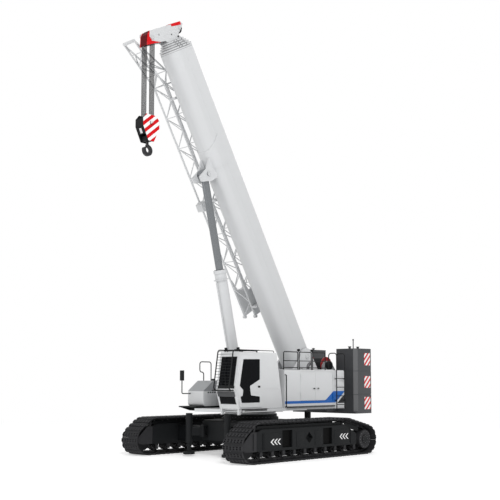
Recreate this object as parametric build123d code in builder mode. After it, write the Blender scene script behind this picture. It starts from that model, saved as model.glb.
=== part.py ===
"""Crawler crane with a telescopic boom, raised over the front, hook block hanging.

Frame: X forward along the tracks, Y to the left, Z up, in millimetres. The origin lies on the
ground under the slewing axis. Boom pieces are drawn in the boom's own axes: u runs along the
boom from the foot pin, v is square to it, upward, and y stays the crane's Y.
"""
import os
from math import atan2, cos, degrees, hypot, radians, sin

from build123d import *

os.makedirs("parts", exist_ok=True)

# Clearances
SHAFT_FIT = 0.05          # radial, a pin or rod in its bore
RUNNING_GAP = 0.3         # between faces that slide or turn on each other
SIDE_GAP = 6.0            # round a door leaf

# Crawler tracks
GAUGE = 4800.0            # between the two track centre lines
SHOE_WIDTH = 800.0
TRACK_LENGTH = 6540.0
TRACK_HEIGHT = 1240.0
SHOE_THICKNESS = 45.0
SHOE_PITCH = 200.0
SHOE_GAP = 14.0
CHAIN_HEIGHT = 85.0
CHAIN_WIDTH = 190.0
END_RADIUS = 490.0        # outside of the shoes round the idler and the sprocket
CARRIER_RADIUS = 50.0
CARRIER_POST = 80.0                    # length of a post's foot
CARRIER_POST_PLATE = 30.0
CARRIER_AXLE_RADIUS = 20.0
FRONT_CARRIER_X = 2530.0
MIDDLE_CARRIER_X = 420.0
REAR_CARRIER_X = -1730.0
ROLLER_RADIUS = 100.0
ROLLER_PITCH = 500.0
ROLLERS_PER_SIDE = 10
ROLLER_LENGTH = 230.0
AXLE_RADIUS = 35.0
BEARING_BLOCK = (110.0, 45.0)          # along X, along Y

# Track frames and carbody
FRAME_WIDTH = 500.0
FRAME_BOTTOM = 340.0
FRAME_TOP = 1000.0
FRAME_FRONT = 2400.0
FRAME_REAR = -2330.0
FRAME_CHEEK = 30.0
CHEEK_REACH = 60.0
FRAME_SLOPE = 150.0
FRAME_REAR_DROP = 230.0
YOKE_LEG = 50.0
YOKE_NOSE_X = 3080.0
YOKE_STEP = 15.0
YOKE_DROP = 70.0
YOKE_SHOULDER = 80.0
IDLER_WIDTH = 150.0
FINAL_DRIVE_RADIUS = 310.0
DRIVE_MOUNT_RADIUS = 280.0
DRIVE_PLATE = 50.0
SPROCKET_TEETH = 20
SPROCKET_ROOT = 318.0
SPROCKET_TOOTH = 42.0
SPROCKET_WIDTH = 60.0
DRIVE_PROUD = 20.0
TOOTH_TIP_GAP = 1.5
BEAM_WIDTH = 440.0
BEAM_BOTTOM = 430.0
BEAM_TOP = 940.0
BEAM_SIDE_GAP = 10.0
BEAM_RECESS = 60.0                     # from the frame's outer face in to the beam's end
FRONT_BEAM_X = 1110.0
REAR_BEAM_X = -835.0
PORT_X = 75.0                          # centre of the diamond port in each frame
PORT_HALF = 175.0
PORT_DEPTH = 130.0
CARBODY_FRONT = 1420.0
CARBODY_REAR = -1150.0
CARBODY_HALF_WIDTH = 1000.0
CARBODY_BOTTOM = 500.0
CARBODY_TOP = 1150.0
CARBODY_CHAMFER = 150.0
RING_SEAT = 50.0

# Slewing ring
RING_BASE_TOP = 1240.0
RING_RADIUS = 890.0
RING_BORE = 700.0
RING_SPLIT = 1345.0
UPPER_BOTTOM = 1450.0
UPPER_RING_RADIUS = 850.0

# Jacks: name, pin x, pin y, post x, post y
JACKS = (
    ("front_left", 1560.0, 680.0, 1960.0, 900.0),
    ("front_right", 1560.0, -680.0, 1960.0, -900.0),
    ("rear_left", -1290.0, 680.0, -1900.0, 900.0),
    ("rear_right", -1290.0, -680.0, -1900.0, -900.0),
)
JACK_LUG_RADIUS = 90.0
JACK_LUG_PLATE = 50.0
JACK_PIN_RADIUS = 40.0
JACK_ARM_BOTTOM = 660.0
JACK_ARM_TOP = 940.0
JACK_ARM_WIDTH = 150.0
JACK_TUBE_RADIUS = 110.0
JACK_TUBE_BOTTOM = 430.0
JACK_TUBE_TOP = 1390.0
JACK_ROD_RADIUS = 70.0
JACK_ROD_TOP = 1300.0
JACK_PAD_RADIUS = 190.0
JACK_PAD_BOTTOM = 60.0
JACK_PAD_TOP = 150.0

# Upper structure
HALF_WIDTH = 1500.0
SPINE_HALF_WIDTH = 620.0
SPINE_TOP = 1550.0
SPINE_FRONT = 1980.0
SPINE_REAR = -3300.0
CHEEK_INNER = 430.0
CHEEK_THICKNESS = 80.0
CHEEK_EYE_RADIUS = 290.0
CHEEK_TOE_X = 950.0
CHEEK_TOE_Z = 1800.0
CHEEK_KNEE_X = -900.0
CHEEK_KNEE_Z = 2000.0
CHEEK_TAIL_Z = 2300.0
PIN_PROUD = 25.0
DECK_REAR = 0.0
DECK_FRONT_LEFT = 1880.0
DECK_FRONT_RIGHT = 1420.0

# Boom
FOOT_PIN_X = -2340.0
FOOT_PIN_Z = 3300.0
BOOM_ANGLE = 59.8
FOOT_PIN_RADIUS = 90.0
FOOT_BOSS_RADIUS = 200.0
BOOM_WIDTH = 780.0
BOOM_DEPTH = 980.0
BELLY_RADIUS = 330.0
CROWN_RADIUS = 70.0
PIN_ABOVE_AXIS = 170.0                 # the foot pin lies this far above the centre line
WALL = 30.0
SLIDE_SPACE = 15.0                     # from a section's inside to the next one's outside
BASE_REAR = -350.0
BASE_CAVITY = 190.0
BASE_FRONT = 11320.0
COLLAR_PITCH = 70.0
COLLAR_LENGTH = 60.0
GUIDE_LENGTH = 120.0
SECTION_REAR = 300.0
REAR_STAGGER = 60.0
SECTIONS = 5

# Luffing cylinder
LUFF_FOOT_X = 507.0
LUFF_FOOT_Z = 2000.0
LUFF_EYE_U = 7330.0                    # rod eye on the boom
LUFF_EYE_V = -963.0
BARREL_RADIUS = 195.0
BARREL_BORE = 160.0
BARREL_FLOOR = 140.0
GLAND_LENGTH = 90.0
BARREL_LENGTH = 4190.0                 # from the foot pin to the gland's face
FOOT_EYE_RADIUS = 150.0
LUG_INNER = 215.0
LUG_THICKNESS = 70.0
LUFF_LUG_RADIUS = 170.0
ROD_RADIUS = 125.0
ROD_EYE_RADIUS = 175.0
ROD_EYE_HALF_WIDTH = 150.0
ROD_PIN_RADIUS = 70.0
ROD_IN_BARREL = 1190.0
PISTON_LENGTH = 35.0
BRACKET_PLATE = 60.0
BRACKET_REAR = 250.0                   # root of the bracket behind and ahead of the rod's pin
BRACKET_FRONT = 570.0
BRACKET_ROOT_V = -560.0
BRACKET_TAIL = 400.0                   # the bracket reaches this far below the pin
DOUBLER = 25.0                         # plate wrapped round the belly at the bracket
DOUBLER_REAR = 7380.0
DOUBLER_MOUTH = 7990.0
DOUBLER_TIP = 8380.0
DOUBLER_TOP_V = -110.0
BARREL_COLLAR = 20.0
BARREL_COLLAR_LENGTH = 110.0
BARREL_PIPE_RADIUS = 14.0
BARREL_PIPE = (500.0, 3850.0)          # from and to, along the barrel

# Boom head and hook
HEAD_PLATE = 30.0
HEAD_HALF_WIDTH = 150.0                # to the inside of a side plate
HEAD_PIN_U = 11900.0
HEAD_PIN_V = -1070.0
CROWN_SHEAVE_U = 11900.0
CROWN_SHEAVE_V = 200.0
HEAD_NECK_LOW_V = -480.0
HEAD_NECK_HIGH_V = 140.0
HEAD_OUTLINE = (                       # side plate from neck to neck, u and v from the head pin
    (-235.0, 510.0),
    (-205.0, 290.0),
    (-165.0, -70.0),
    (-145.0, -300.0),
    (145.0, -110.0),
    (225.0, 10.0),
    (190.0, 800.0),
    (165.0, 1430.0),
    (80.0, 1500.0),
    (-40.0, 1380.0),
    (-160.0, 1150.0),
)
SWOOSH_OUTLINE = (                     # red plate on each side of the head, same axes
    (145.0, -110.0),
    (-145.0, -300.0),
    (-175.0, -60.0),
    (-215.0, 290.0),
    (-85.0, -50.0),
)
SWOOSH_PLATE = 8.0
CROWN_STRIP = 15.0
CROWN_STRIP_V = (890.0, 1430.0)        # from and to, above the head pin
JIB_PIN_HOLES = ((11905.0, -745.0), (11785.0, -215.0))
JIB_PIN_RADIUS = 30.0
SHEAVE_RADIUS = 142.0
ROPE_GUARD_X = 175.0                   # rope guard's front plate ahead of the head pin
ROPE_GUARD_PLATE = 12.0
ROPE_GUARD_LOW = -270.0                # below the pin
ROPE_GUARD_BEND = 60.0
ROPE_GUARD_TOP = (100.0, 200.0)        # ahead of the pin and above it
ROPE_GUARD_ARM = (131.0, 143.0)        # inside and outside of an arm
ROPE_GUARD_SLOT_Y = -80.0              # the rope from the crown passes right of here
ROPE_GUARD_BOSS = 90.0
SHEAVE_PITCH = 52.0
SHEAVE_THICKNESS = 40.0
SHEAVES = 5
SHEAVE_PIN_RADIUS = 60.0
ROPE_RADIUS = 11.0
FALL_LENGTH = 2700.0                   # head pin down to the block's pin
BLOCK_TOP = (200.0, 250.0)             # half length and height above the block's pin
BLOCK_SHOULDER = (320.0, 100.0)
BLOCK_WAIST = (320.0, -130.0)
BLOCK_FOOT = (110.0, -570.0)
BLOCK_BELOW_PIN = 550.0
BLOCK_CHEEK = 40.0
BLOCK_CHEEK_INNER = 150.0
BLOCK_COVER = 12.0
BLOCK_COVER_LOW = (210.0, -360.0)
CROSSHEAD = 200.0
CROSSHEAD_HEIGHT = 150.0
HOOK_DROP = 1010.0                     # block pin down to the hook's underside
HOOK_OUTER = 175.0
HOOK_INNER = 80.0
HOOK_SAG = 12.0                        # the outer circle lies this far below the bowl's
HOOK_TIP_RISE = 25.0
HOOK_THICKNESS = 90.0
SHANK_RADIUS = 42.0

# Stowed fly jib beside the boom
JIB_OUTER_Y = -1190.0
JIB_INNER_Y = -670.0
JIB_LOW_V = -500.0
JIB_HIGH_V = 80.0
JIB_START_U = 1950.0
JIB_STRAIGHT_END_U = 10400.0
JIB_TIP_U = 12030.0
JIB_TUBE = 70.0
JIB_BAY = 900.0
JIB_LACE = 40.0
JIB_TIP_V = -1030.0
JIB_BRACKET_US = (2300.0, 6300.0, 9900.0)
JIB_WEB_FRONT_U = 2970.0               # solid web at the jib's foot ends here
JIB_WEB_WAIST = 150.0
JIB_REST_U = (6000.0, 6380.0)          # plate that rests under the jib's outer chord
JIB_REST_V = -730.0
JIB_REST_INNER_Y = -900.0

# Cab
CAB_REAR = 0.0
CAB_REAR_TOP = 290.0
CAB_FRONT_LOW = 2000.0
CAB_FRONT_WAIST = 2180.0
CAB_WAIST_Z = 2150.0
CAB_FRONT_TOP = 1980.0
CAB_BOTTOM = 1570.0
CAB_TOP = 3350.0
CAB_INNER_Y = 600.0
CAB_WALL_Y = 1460.0
CAB_WALL = 50.0
CAB_EDGE_RADIUS = 60.0
DOOR_RAIL = (250.0, 900.0)             # groove in the cab's side, from and to
DOOR_RAIL_Z = 2180.0
DOOR_RAIL_HEIGHT = 30.0
DOOR_RAIL_DEPTH = 12.0
ROOF_GUARD_REAR = 1080.0
ROOF_GUARD_FRONT = 1870.0
ROOF_GUARD_BAR = 30.0
ROOF_GUARD_BARS = 6
ROOF_RAIL_REAR = 330.0
CAB_LUG = (90.0, 60.0, 180.0)          # along X, along Y, high
SIDE_STEP_REAR = 720.0
SIDE_STEP_PLATE = 30.0
SIDE_STEP_DEPTH = 40.0
GRAB_X = -75.0                         # grab rail at the front corner of the house
GRAB_BOTTOM = 1600.0
GRAB_TOP = 2640.0
GRAB_PROUD = 60.0
GLASS = 8.0
DOOR_THICKNESS = 35.0
DOOR_REAR = 1040.0
DOOR_BOTTOM = 1620.0
DOOR_TOP = 3260.0
DOOR_LAP = 60.0
DOOR_MARGIN = 40.0
PILLAR = 90.0
WINDOW_CORNER = 25.0
SCREEN_CUT = 600.0
SCREEN_LOW = 2280.0
SCREEN_HIGH = 3200.0
SILL_LOW = 1720.0
SILL_HIGH = 2080.0
ROOF_LIGHT_REAR = 1000.0
ROOF_LIGHT_FRONT = 1800.0
SEAT_X = 900.0
SEAT_BASE = 300.0
SEAT_BASE_HEIGHT = 350.0
SEAT_DEPTH = 520.0
SEAT_WIDTH = 480.0
SEAT_CUSHION = 120.0
SEAT_BACK = 650.0
SEAT_RAKE = 100.0
CONSOLE = (420.0, 130.0, 560.0)        # along X, along Y, high
CONSOLE_AHEAD = 60.0
CONSOLE_SIDE = 312.0
LEVER_RADIUS = 18.0
LEVER_HEIGHT = 120.0
GUARD_BEND = 100.0
GUARD_TUBE_RADIUS = 20.0
GUARD_STANDOFF = 200.0
GUARD_RISE = 60.0
GUARD_FOOT_BEND = 45.0
GUARD_BAR = 12.0
GUARD_BARS = 14

# Engine house
HOUSE_FRONT = -50.0
HOUSE_REAR = -3170.0
HOUSE_BOTTOM = 1470.0
HOUSE_TOP = 2810.0
HOUSE_WALL = 40.0
HOUSE_EDGE_RADIUS = 50.0
LEAF_SPLIT = -1620.0                   # where the two service doors meet
LEAF_FRONT = -840.0
LEAF_REAR = -2540.0
LEAF_BOTTOM = 1780.0
LEAF_TOP = 2750.0
HANDLE = (90.0, 18.0, 45.0)            # along X, proud, high
HANDLE_Z = 2185.0
HANDLE_INSET = 60.0
HINGE_RADIUS = 14.0
HINGE_PIN_RADIUS = 6.0
HINGE_STANDOFF = 16.0
HINGE_LEAF = 45.0
HINGE_PLATE = 6.0
HINGE_LENGTH = 60.0
HINGE_HEIGHTS = (1950.0, 2550.0)
ENGINE = (1400.0, 620.0, 900.0)        # along X, along Y, high
ENGINE_CHAMFER = 120.0
LADDER_FRONT = -2660.0
LADDER_REAR = -3120.0
LADDER_STANDOFF = 80.0
LADDER_LOOP = 350.0
LADDER_RUNG = 300.0
HANDRAIL_SPANS = ((-80.0, -790.0), (-860.0, -1480.0), (-1550.0, -2220.0))
RAIL_FOOT = 70.0                       # foot rail above the roof

# Right-hand side
RIGHT_HOUSE_FRONT = -600.0
RIGHT_HOUSE_TOP = 2720.0
RIGHT_BOX_FRONT = 1480.0
RIGHT_BOX_TOP = 2450.0
RIGHT_BOX_INNER = -740.0
HOOD_FRONT_Z = 2110.0
HOOD_REAR_X = 1035.0
TANK_NOSE_RADIUS = 90.0
STEP_FRONT = 1890.0
STEP_REAR = 700.0
STEP_PLATE = 40.0
STEP_BRACKET = 30.0
RIGHT_RAIL_REAR = 465.0
RIGHT_RAIL_FRONT = 990.0
RIGHT_RAIL_TOP = 3090.0
RIGHT_RAIL_CROOK = 350.0               # the front leg steps back this far below the top
RIGHT_RAIL_STEP = 180.0
MIRROR_REACH = 380.0                   # ahead of the box
MIRROR_ARM_Z = 2020.0
MIRROR_Y = -1380.0
MIRROR = (60.0, 150.0, 340.0)          # along X, along Y, high
MIRROR_Z = 2450.0
RAIL_TUBE = 17.0
RAIL_TOP = 3400.0

# Counterweight and winches
STACK_FRONT = -3855.0
STACK_REAR = -4760.0
STACK_BOTTOM = 1340.0
STACK_TOP = 3600.0
STACK_SEAMS = (1950.0, 2790.0)
STACK_CHAMFER = 120.0
SLAB_SEAM = 12.0
LIFT_LUG_XS = (-4080.0, -4560.0)
LIFT_LUG_RADIUS = 45.0
LIFT_LUG_HEIGHT = 70.0
MAST_X = -4290.0                       # signal mast on the left stack
MAST_RADIUS = 18.0
MAST_HEIGHT = 330.0
MAST_CAP_RADIUS = 32.0
TRAY_BOTTOM = 1275.0
TAIL_HALF_WIDTH = 620.0
WINCH_SETBACK = 350.0
WINCH_TOP_HALF = 160.0
TAIL_TOP = 1750.0
DRUM_RADIUS = 230.0
DRUM_HALF_WIDTH = 330.0
DRUM_FLANGE = 30.0
MAIN_DRUM_X = -3780.0
MAIN_DRUM_Z = 2230.0
MAIN_FLANGE_RADIUS = 400.0
AUX_DRUM_X = -3600.0
AUX_DRUM_Z = 3000.0
AUX_FLANGE_RADIUS = 310.0
WINCH_PLATE_INNER = 380.0
WINCH_PLATE = 50.0

# Axes of the boom and of the luffing cylinder
along = Vector(cos(radians(BOOM_ANGLE)), 0, sin(radians(BOOM_ANGLE)))
across = Vector(-sin(radians(BOOM_ANGLE)), 0, cos(radians(BOOM_ANGLE)))
foot_pin = Vector(FOOT_PIN_X, 0, FOOT_PIN_Z)


def boom_point(u, v, y=0.0):
    """A place given in the boom's axes, in the crane's frame."""
    return foot_pin + along * u + across * v + Vector(0, y, 0)


def boom_side(y=0.0):
    """Plane along the boom at a distance y from the middle; it faces right."""
    return Plane(origin=boom_point(0, 0, y), x_dir=along, z_dir=(0, -1, 0))


def boom_station(u):
    """Plane square to the boom, centred on its centre line."""
    return Plane(origin=boom_point(u, -PIN_ABOVE_AXIS), x_dir=(0, 1, 0), z_dir=along)


def side(y=0.0):
    """Upright plane along the crane at a distance y from the middle; it faces right."""
    return Plane.XZ.offset(-y)


def box_outline(inset):
    """Section of the boom: flat crown, deep rounded belly, drawn in by an inset."""
    with BuildSketch() as outline:
        Rectangle(BOOM_WIDTH - 2 * inset, BOOM_DEPTH - 2 * inset)
        fillet(outline.vertices().group_by(Axis.Y)[0], BELLY_RADIUS - inset)
        fillet(outline.vertices().group_by(Axis.Y)[-1], CROWN_RADIUS - inset / 4)
    return outline.sketch


def span(y_a, y_b):
    """Plane and thickness for a plate that lies between two distances from the middle."""
    return side(max(y_a, y_b)), abs(y_a - y_b)


def bar(start, end, width):
    """A straight flat bar between two points of a sketch."""
    run = (end[0] - start[0], end[1] - start[1])
    middle = ((start[0] + end[0]) / 2, (start[1] + end[1]) / 2, 0)
    with BuildSketch() as strip:
        with Locations(Location(middle, (0, 0, degrees(atan2(run[1], run[0]))))):
            Rectangle(hypot(run[0], run[1]), width)
    return strip.sketch


def hinge_half(axis_x, hand_x, z, fixed):
    """One knuckle of a door hinge with its leaf; the fixed halves carry the pin."""
    axis_y = HALF_WIDTH + HINGE_STANDOFF
    with BuildPart(mode=Mode.PRIVATE) as half:
        with Locations((axis_x, axis_y, z)):
            Cylinder(HINGE_RADIUS, HINGE_LENGTH - RUNNING_GAP)
        with Locations((axis_x, HALF_WIDTH, z)):
            Box(
                HINGE_LEAF,
                HINGE_PLATE,
                HINGE_LENGTH - RUNNING_GAP,
                align=(Align.MIN if hand_x > 0 else Align.MAX, Align.MIN, Align.CENTER),
            )
        if fixed:
            with Locations((axis_x, axis_y, z)):
                Cylinder(HINGE_PIN_RADIUS, 2 * HINGE_LENGTH)
        else:
            with Locations((axis_x, axis_y, z)):
                Cylinder(HINGE_PIN_RADIUS + SHAFT_FIT, HINGE_LENGTH, mode=Mode.SUBTRACT)
    return half.part


luff_eye = boom_point(LUFF_EYE_U, LUFF_EYE_V)
luff_foot = Vector(LUFF_FOOT_X, 0, LUFF_FOOT_Z)
luff_length = (luff_eye - luff_foot).length
luff_way = (luff_eye - luff_foot).normalized()
luff_plane = Plane(origin=luff_foot, x_dir=luff_way, z_dir=(0, -1, 0))
head_pin = boom_point(HEAD_PIN_U, HEAD_PIN_V)
block_pin_z = head_pin.Z - FALL_LENGTH


# Crawler tracks: each one loop of chain with its shoes
axle_x = TRACK_LENGTH / 2 - END_RADIUS
chain_outer = END_RADIUS - SHOE_THICKNESS
chain_inner = chain_outer - CHAIN_HEIGHT
carrier_z = TRACK_HEIGHT - SHOE_THICKNESS - CHAIN_HEIGHT - CARRIER_RADIUS
roller_z = SHOE_THICKNESS + CHAIN_HEIGHT + ROLLER_RADIUS + RUNNING_GAP


def loop_outline(end_radius, carrier_radius):
    """Outline round the idler, the sprocket and the two outermost carrier rollers."""
    with BuildSketch() as outline:
        with Locations((axle_x, END_RADIUS), (-axle_x, END_RADIUS)):
            Circle(end_radius)
        with Locations((FRONT_CARRIER_X, carrier_z), (REAR_CARRIER_X, carrier_z)):
            Circle(carrier_radius)
        make_hull()
    return outline.sketch


chain_path = loop_outline(chain_outer, CARRIER_RADIUS + CHAIN_HEIGHT)
chain_wire = chain_path.face().outer_wire()
shoe_count = round(chain_wire.length / SHOE_PITCH)
link_pins = [chain_wire.position_at(i / shoe_count) for i in range(shoe_count + 1)]

for name, centre_y in (("track_left", GAUGE / 2), ("track_right", -GAUGE / 2)):
    with BuildPart() as track:
        with BuildSketch(side(centre_y)):
            add(chain_path)
            add(loop_outline(chain_inner, CARRIER_RADIUS), mode=Mode.SUBTRACT)
        extrude(amount=CHAIN_WIDTH / 2, both=True)
        with BuildSketch(side(centre_y)):
            for start, end in zip(link_pins, link_pins[1:]):
                chord = end - start
                middle = (start + end) * 0.5
                turn = atan2(chord.Y, chord.X)
                outward = Vector(sin(turn), -cos(turn), 0)
                if outward.dot(middle - Vector(0, END_RADIUS, 0)) < 0:
                    outward = outward * -1
                seat = middle + outward * (SHOE_THICKNESS / 2)
                with Locations(Location((seat.X, seat.Y, 0), (0, 0, degrees(turn)))):
                    Rectangle(chord.length - SHOE_GAP, SHOE_THICKNESS)
        extrude(amount=SHOE_WIDTH / 2, both=True)
    track.part.label = name
    export_step(track.part, f"parts/{name}.step")


# Wheels inside each track
for hand, centre_y in (("left", GAUGE / 2), ("right", -GAUGE / 2)):
    outward_y = 1 if centre_y > 0 else -1
    half_frame = FRAME_WIDTH / 2

    with BuildPart() as running_gear:
        for i in range(ROLLERS_PER_SIDE):
            x = (i - (ROLLERS_PER_SIDE - 1) / 2) * ROLLER_PITCH
            with BuildSketch(side(centre_y)):
                with Locations((x, roller_z)):
                    Circle(ROLLER_RADIUS)
            extrude(amount=ROLLER_LENGTH / 2, both=True)
            with BuildSketch(side(centre_y)):
                with Locations((x, roller_z)):
                    Circle(AXLE_RADIUS)
            extrude(amount=half_frame - BEARING_BLOCK[1] / 2, both=True)
            for hand_y in (-1, 1):
                bearing_y = centre_y + hand_y * (half_frame - BEARING_BLOCK[1])
                low = roller_z - AXLE_RADIUS - 20
                with Locations((x, bearing_y, (low + FRAME_BOTTOM) / 2)):
                    Box(BEARING_BLOCK[0], BEARING_BLOCK[1], FRAME_BOTTOM - low)
        for x, post_bottom, post_y in (
            (FRONT_CARRIER_X, FRAME_TOP - YOKE_DROP, half_frame - YOKE_LEG),
            (MIDDLE_CARRIER_X, FRAME_TOP, half_frame / 2),
            (REAR_CARRIER_X, FRAME_TOP, half_frame / 2),
        ):
            with BuildSketch(side(centre_y)):
                with Locations((x, carrier_z)):
                    Circle(CARRIER_RADIUS - RUNNING_GAP)
            extrude(amount=CHAIN_WIDTH / 2, both=True)
            with BuildSketch(side(centre_y)):
                with Locations((x, carrier_z)):
                    Circle(CARRIER_AXLE_RADIUS)
            extrude(amount=post_y + CARRIER_POST_PLATE, both=True)
            for hand_y in (-1, 1):
                plane, thickness = span(
                    centre_y + hand_y * post_y, centre_y + hand_y * (post_y + CARRIER_POST_PLATE)
                )
                with BuildSketch(plane):
                    Polygon(
                        (x, post_bottom),
                        (x + CARRIER_POST, post_bottom),
                        (x + 1.5 * CARRIER_AXLE_RADIUS, carrier_z + 1.5 * CARRIER_AXLE_RADIUS),
                        (x - 1.5 * CARRIER_AXLE_RADIUS, carrier_z + 1.5 * CARRIER_AXLE_RADIUS),
                        (x - 1.5 * CARRIER_AXLE_RADIUS, carrier_z - CARRIER_AXLE_RADIUS),
                        align=None,
                    )
                extrude(amount=thickness)
        with BuildSketch(side(centre_y)):
            with Locations((axle_x, END_RADIUS)):
                Circle(chain_inner - RUNNING_GAP)
        extrude(amount=IDLER_WIDTH / 2, both=True)
        with BuildSketch(side(centre_y)):
            with Locations((axle_x, END_RADIUS)):
                Circle(2 * AXLE_RADIUS)
        extrude(amount=half_frame - YOKE_LEG, both=True)
        for hand_y in (-1, 1):
            leg_inner = centre_y + hand_y * (half_frame - YOKE_LEG)
            leg_middle = centre_y + hand_y * (half_frame - FRAME_CHEEK)
            leg_outer = centre_y + hand_y * half_frame
            leg_starts = (
                (leg_inner, leg_middle, FRAME_FRONT),
                (leg_middle, leg_outer, FRAME_FRONT + CHEEK_REACH + BEAM_SIDE_GAP),
            )
            for y_a, y_b, start_x in leg_starts:
                plane, thickness = span(y_a, y_b)
                with BuildSketch(plane):
                    Polygon(
                        (start_x, FRAME_BOTTOM + YOKE_STEP),
                        (start_x, FRAME_TOP - YOKE_DROP),
                        (axle_x - YOKE_SHOULDER, FRAME_TOP - YOKE_DROP),
                        (YOKE_NOSE_X, END_RADIUS + YOKE_SHOULDER),
                        (YOKE_NOSE_X, END_RADIUS - YOKE_SHOULDER),
                        (YOKE_NOSE_X - 2 * YOKE_SHOULDER, FRAME_BOTTOM + YOKE_STEP),
                        align=None,
                    )
                extrude(amount=thickness)
        with BuildSketch(side(centre_y)):
            with Locations((-axle_x, END_RADIUS)):
                Circle(SPROCKET_ROOT)
                with PolarLocations(SPROCKET_ROOT, SPROCKET_TEETH):
                    Rectangle(2 * (chain_inner - TOOTH_TIP_GAP - SPROCKET_ROOT), SPROCKET_TOOTH)
        extrude(amount=SPROCKET_WIDTH / 2, both=True)
        plane, thickness = span(centre_y, centre_y + outward_y * (half_frame + DRIVE_PROUD))
        with BuildSketch(plane):
            with Locations((-axle_x, END_RADIUS)):
                Circle(FINAL_DRIVE_RADIUS)
        extrude(amount=thickness)
        plane, thickness = span(centre_y, centre_y - outward_y * (half_frame - DRIVE_PLATE))
        with BuildSketch(plane):
            with Locations((-axle_x, END_RADIUS)):
                Circle(DRIVE_MOUNT_RADIUS)
        extrude(amount=thickness)
    running_gear.part.label = f"running_gear_{hand}"
    export_step(running_gear.part, f"parts/running_gear_{hand}.step")

    outer_y = centre_y + outward_y * half_frame
    inner_y = centre_y - outward_y * half_frame
    with BuildPart() as frame:
        with BuildSketch(side(centre_y)):
            Polygon(
                (FRAME_REAR, FRAME_BOTTOM),
                (FRAME_FRONT, FRAME_BOTTOM),
                (FRAME_FRONT, FRAME_TOP - YOKE_DROP),
                (FRAME_FRONT - FRAME_SLOPE, FRAME_TOP),
                (REAR_CARRIER_X, FRAME_TOP),
                (FRAME_REAR + FRAME_SLOPE, FRAME_TOP - FRAME_REAR_DROP),
                (FRAME_REAR, FRAME_TOP - FRAME_REAR_DROP - YOKE_DROP),
                align=None,
            )
        extrude(amount=half_frame, both=True)
        with BuildSketch(side(centre_y)):
            for beam_x in (FRONT_BEAM_X, REAR_BEAM_X):
                with Locations((beam_x, (BEAM_BOTTOM + BEAM_TOP - BEAM_SIDE_GAP) / 2)):
                    Rectangle(BEAM_WIDTH + 2 * BEAM_SIDE_GAP, BEAM_TOP - BEAM_BOTTOM + BEAM_SIDE_GAP)
        extrude(amount=half_frame, both=True, mode=Mode.SUBTRACT)
        plane, thickness = span(outer_y, outer_y - outward_y * PORT_DEPTH)
        with BuildSketch(plane):
            with Locations((PORT_X, (FRAME_BOTTOM + FRAME_TOP) / 2)):
                RegularPolygon(PORT_HALF, 4)
        extrude(amount=thickness, mode=Mode.SUBTRACT)
        for y_a, y_b in (
            (outer_y, outer_y - outward_y * FRAME_CHEEK),
            (inner_y, inner_y + outward_y * FRAME_CHEEK),
        ):
            plane, thickness = span(y_a, y_b)
            with BuildSketch(plane):
                with Locations((FRAME_FRONT, FRAME_BOTTOM + YOKE_STEP)):
                    Rectangle(
                        CHEEK_REACH,
                        FRAME_TOP - YOKE_DROP - FRAME_BOTTOM - YOKE_STEP,
                        align=(Align.MIN, Align.MIN),
                    )
            extrude(amount=thickness)
        plane, thickness = span(inner_y, inner_y + outward_y * DRIVE_PLATE)
        with BuildSketch(plane):
            with Locations((-axle_x, END_RADIUS)):
                Circle(DRIVE_MOUNT_RADIUS)
            with Locations((-axle_x, END_RADIUS)):
                Rectangle(
                    FRAME_REAR + axle_x,
                    2 * (END_RADIUS - FRAME_BOTTOM),
                    align=(Align.MIN, Align.CENTER),
                )
        extrude(amount=thickness)
    frame.part.label = f"track_frame_{hand}"
    export_step(frame.part, f"parts/track_frame_{hand}.step")


# Cross beams, carbody and slewing ring
beam_half_length = GAUGE / 2 + FRAME_WIDTH / 2 - BEAM_RECESS
for name, beam_x in (("cross_beam_front", FRONT_BEAM_X), ("cross_beam_rear", REAR_BEAM_X)):
    with BuildPart() as beam:
        with Locations((beam_x, 0, (BEAM_BOTTOM + BEAM_TOP) / 2)):
            Box(BEAM_WIDTH, 2 * beam_half_length, BEAM_TOP - BEAM_BOTTOM)
    beam.part.label = name
    export_step(beam.part, f"parts/{name}.step")

with BuildPart() as carbody:
    with BuildSketch(Plane.XY.offset(CARBODY_BOTTOM)):
        with Locations(((CARBODY_FRONT + CARBODY_REAR) / 2, 0)):
            Rectangle(CARBODY_FRONT - CARBODY_REAR, 2 * CARBODY_HALF_WIDTH)
    extrude(amount=CARBODY_TOP - CARBODY_BOTTOM)
    chamfer(carbody.edges().filter_by(Axis.Z), CARBODY_CHAMFER)
    chamfer(carbody.faces().sort_by(Axis.Z)[-1].edges(), CARBODY_CHAMFER / 3)
    with BuildSketch(Plane.XY.offset(CARBODY_TOP)):
        Circle(RING_RADIUS + RING_SEAT)
    extrude(amount=RING_BASE_TOP - CARBODY_TOP)
    for beam_x in (FRONT_BEAM_X, REAR_BEAM_X):
        with Locations((beam_x, 0, (BEAM_BOTTOM + BEAM_TOP) / 2)):
            Box(BEAM_WIDTH, 2 * beam_half_length, BEAM_TOP - BEAM_BOTTOM, mode=Mode.SUBTRACT)
    for _, pin_x, pin_y, _, _ in JACKS:
        edge_x = CARBODY_FRONT if pin_x > 0 else CARBODY_REAR
        for lug_z in (
            JACK_ARM_BOTTOM - RUNNING_GAP - JACK_LUG_PLATE,
            JACK_ARM_TOP + RUNNING_GAP,
        ):
            with BuildSketch(Plane.XY.offset(lug_z)):
                with Locations((pin_x, pin_y)):
                    Circle(JACK_LUG_RADIUS)
                with Locations(((pin_x + edge_x) / 2, pin_y)):
                    Rectangle(abs(pin_x - edge_x), 2 * JACK_LUG_RADIUS)
            extrude(amount=JACK_LUG_PLATE)
        with BuildSketch(Plane.XY.offset(JACK_ARM_BOTTOM - RUNNING_GAP)):
            with Locations((pin_x, pin_y)):
                Circle(JACK_PIN_RADIUS)
        extrude(amount=JACK_ARM_TOP - JACK_ARM_BOTTOM + 2 * RUNNING_GAP)
carbody.part.label = "carbody"
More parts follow.
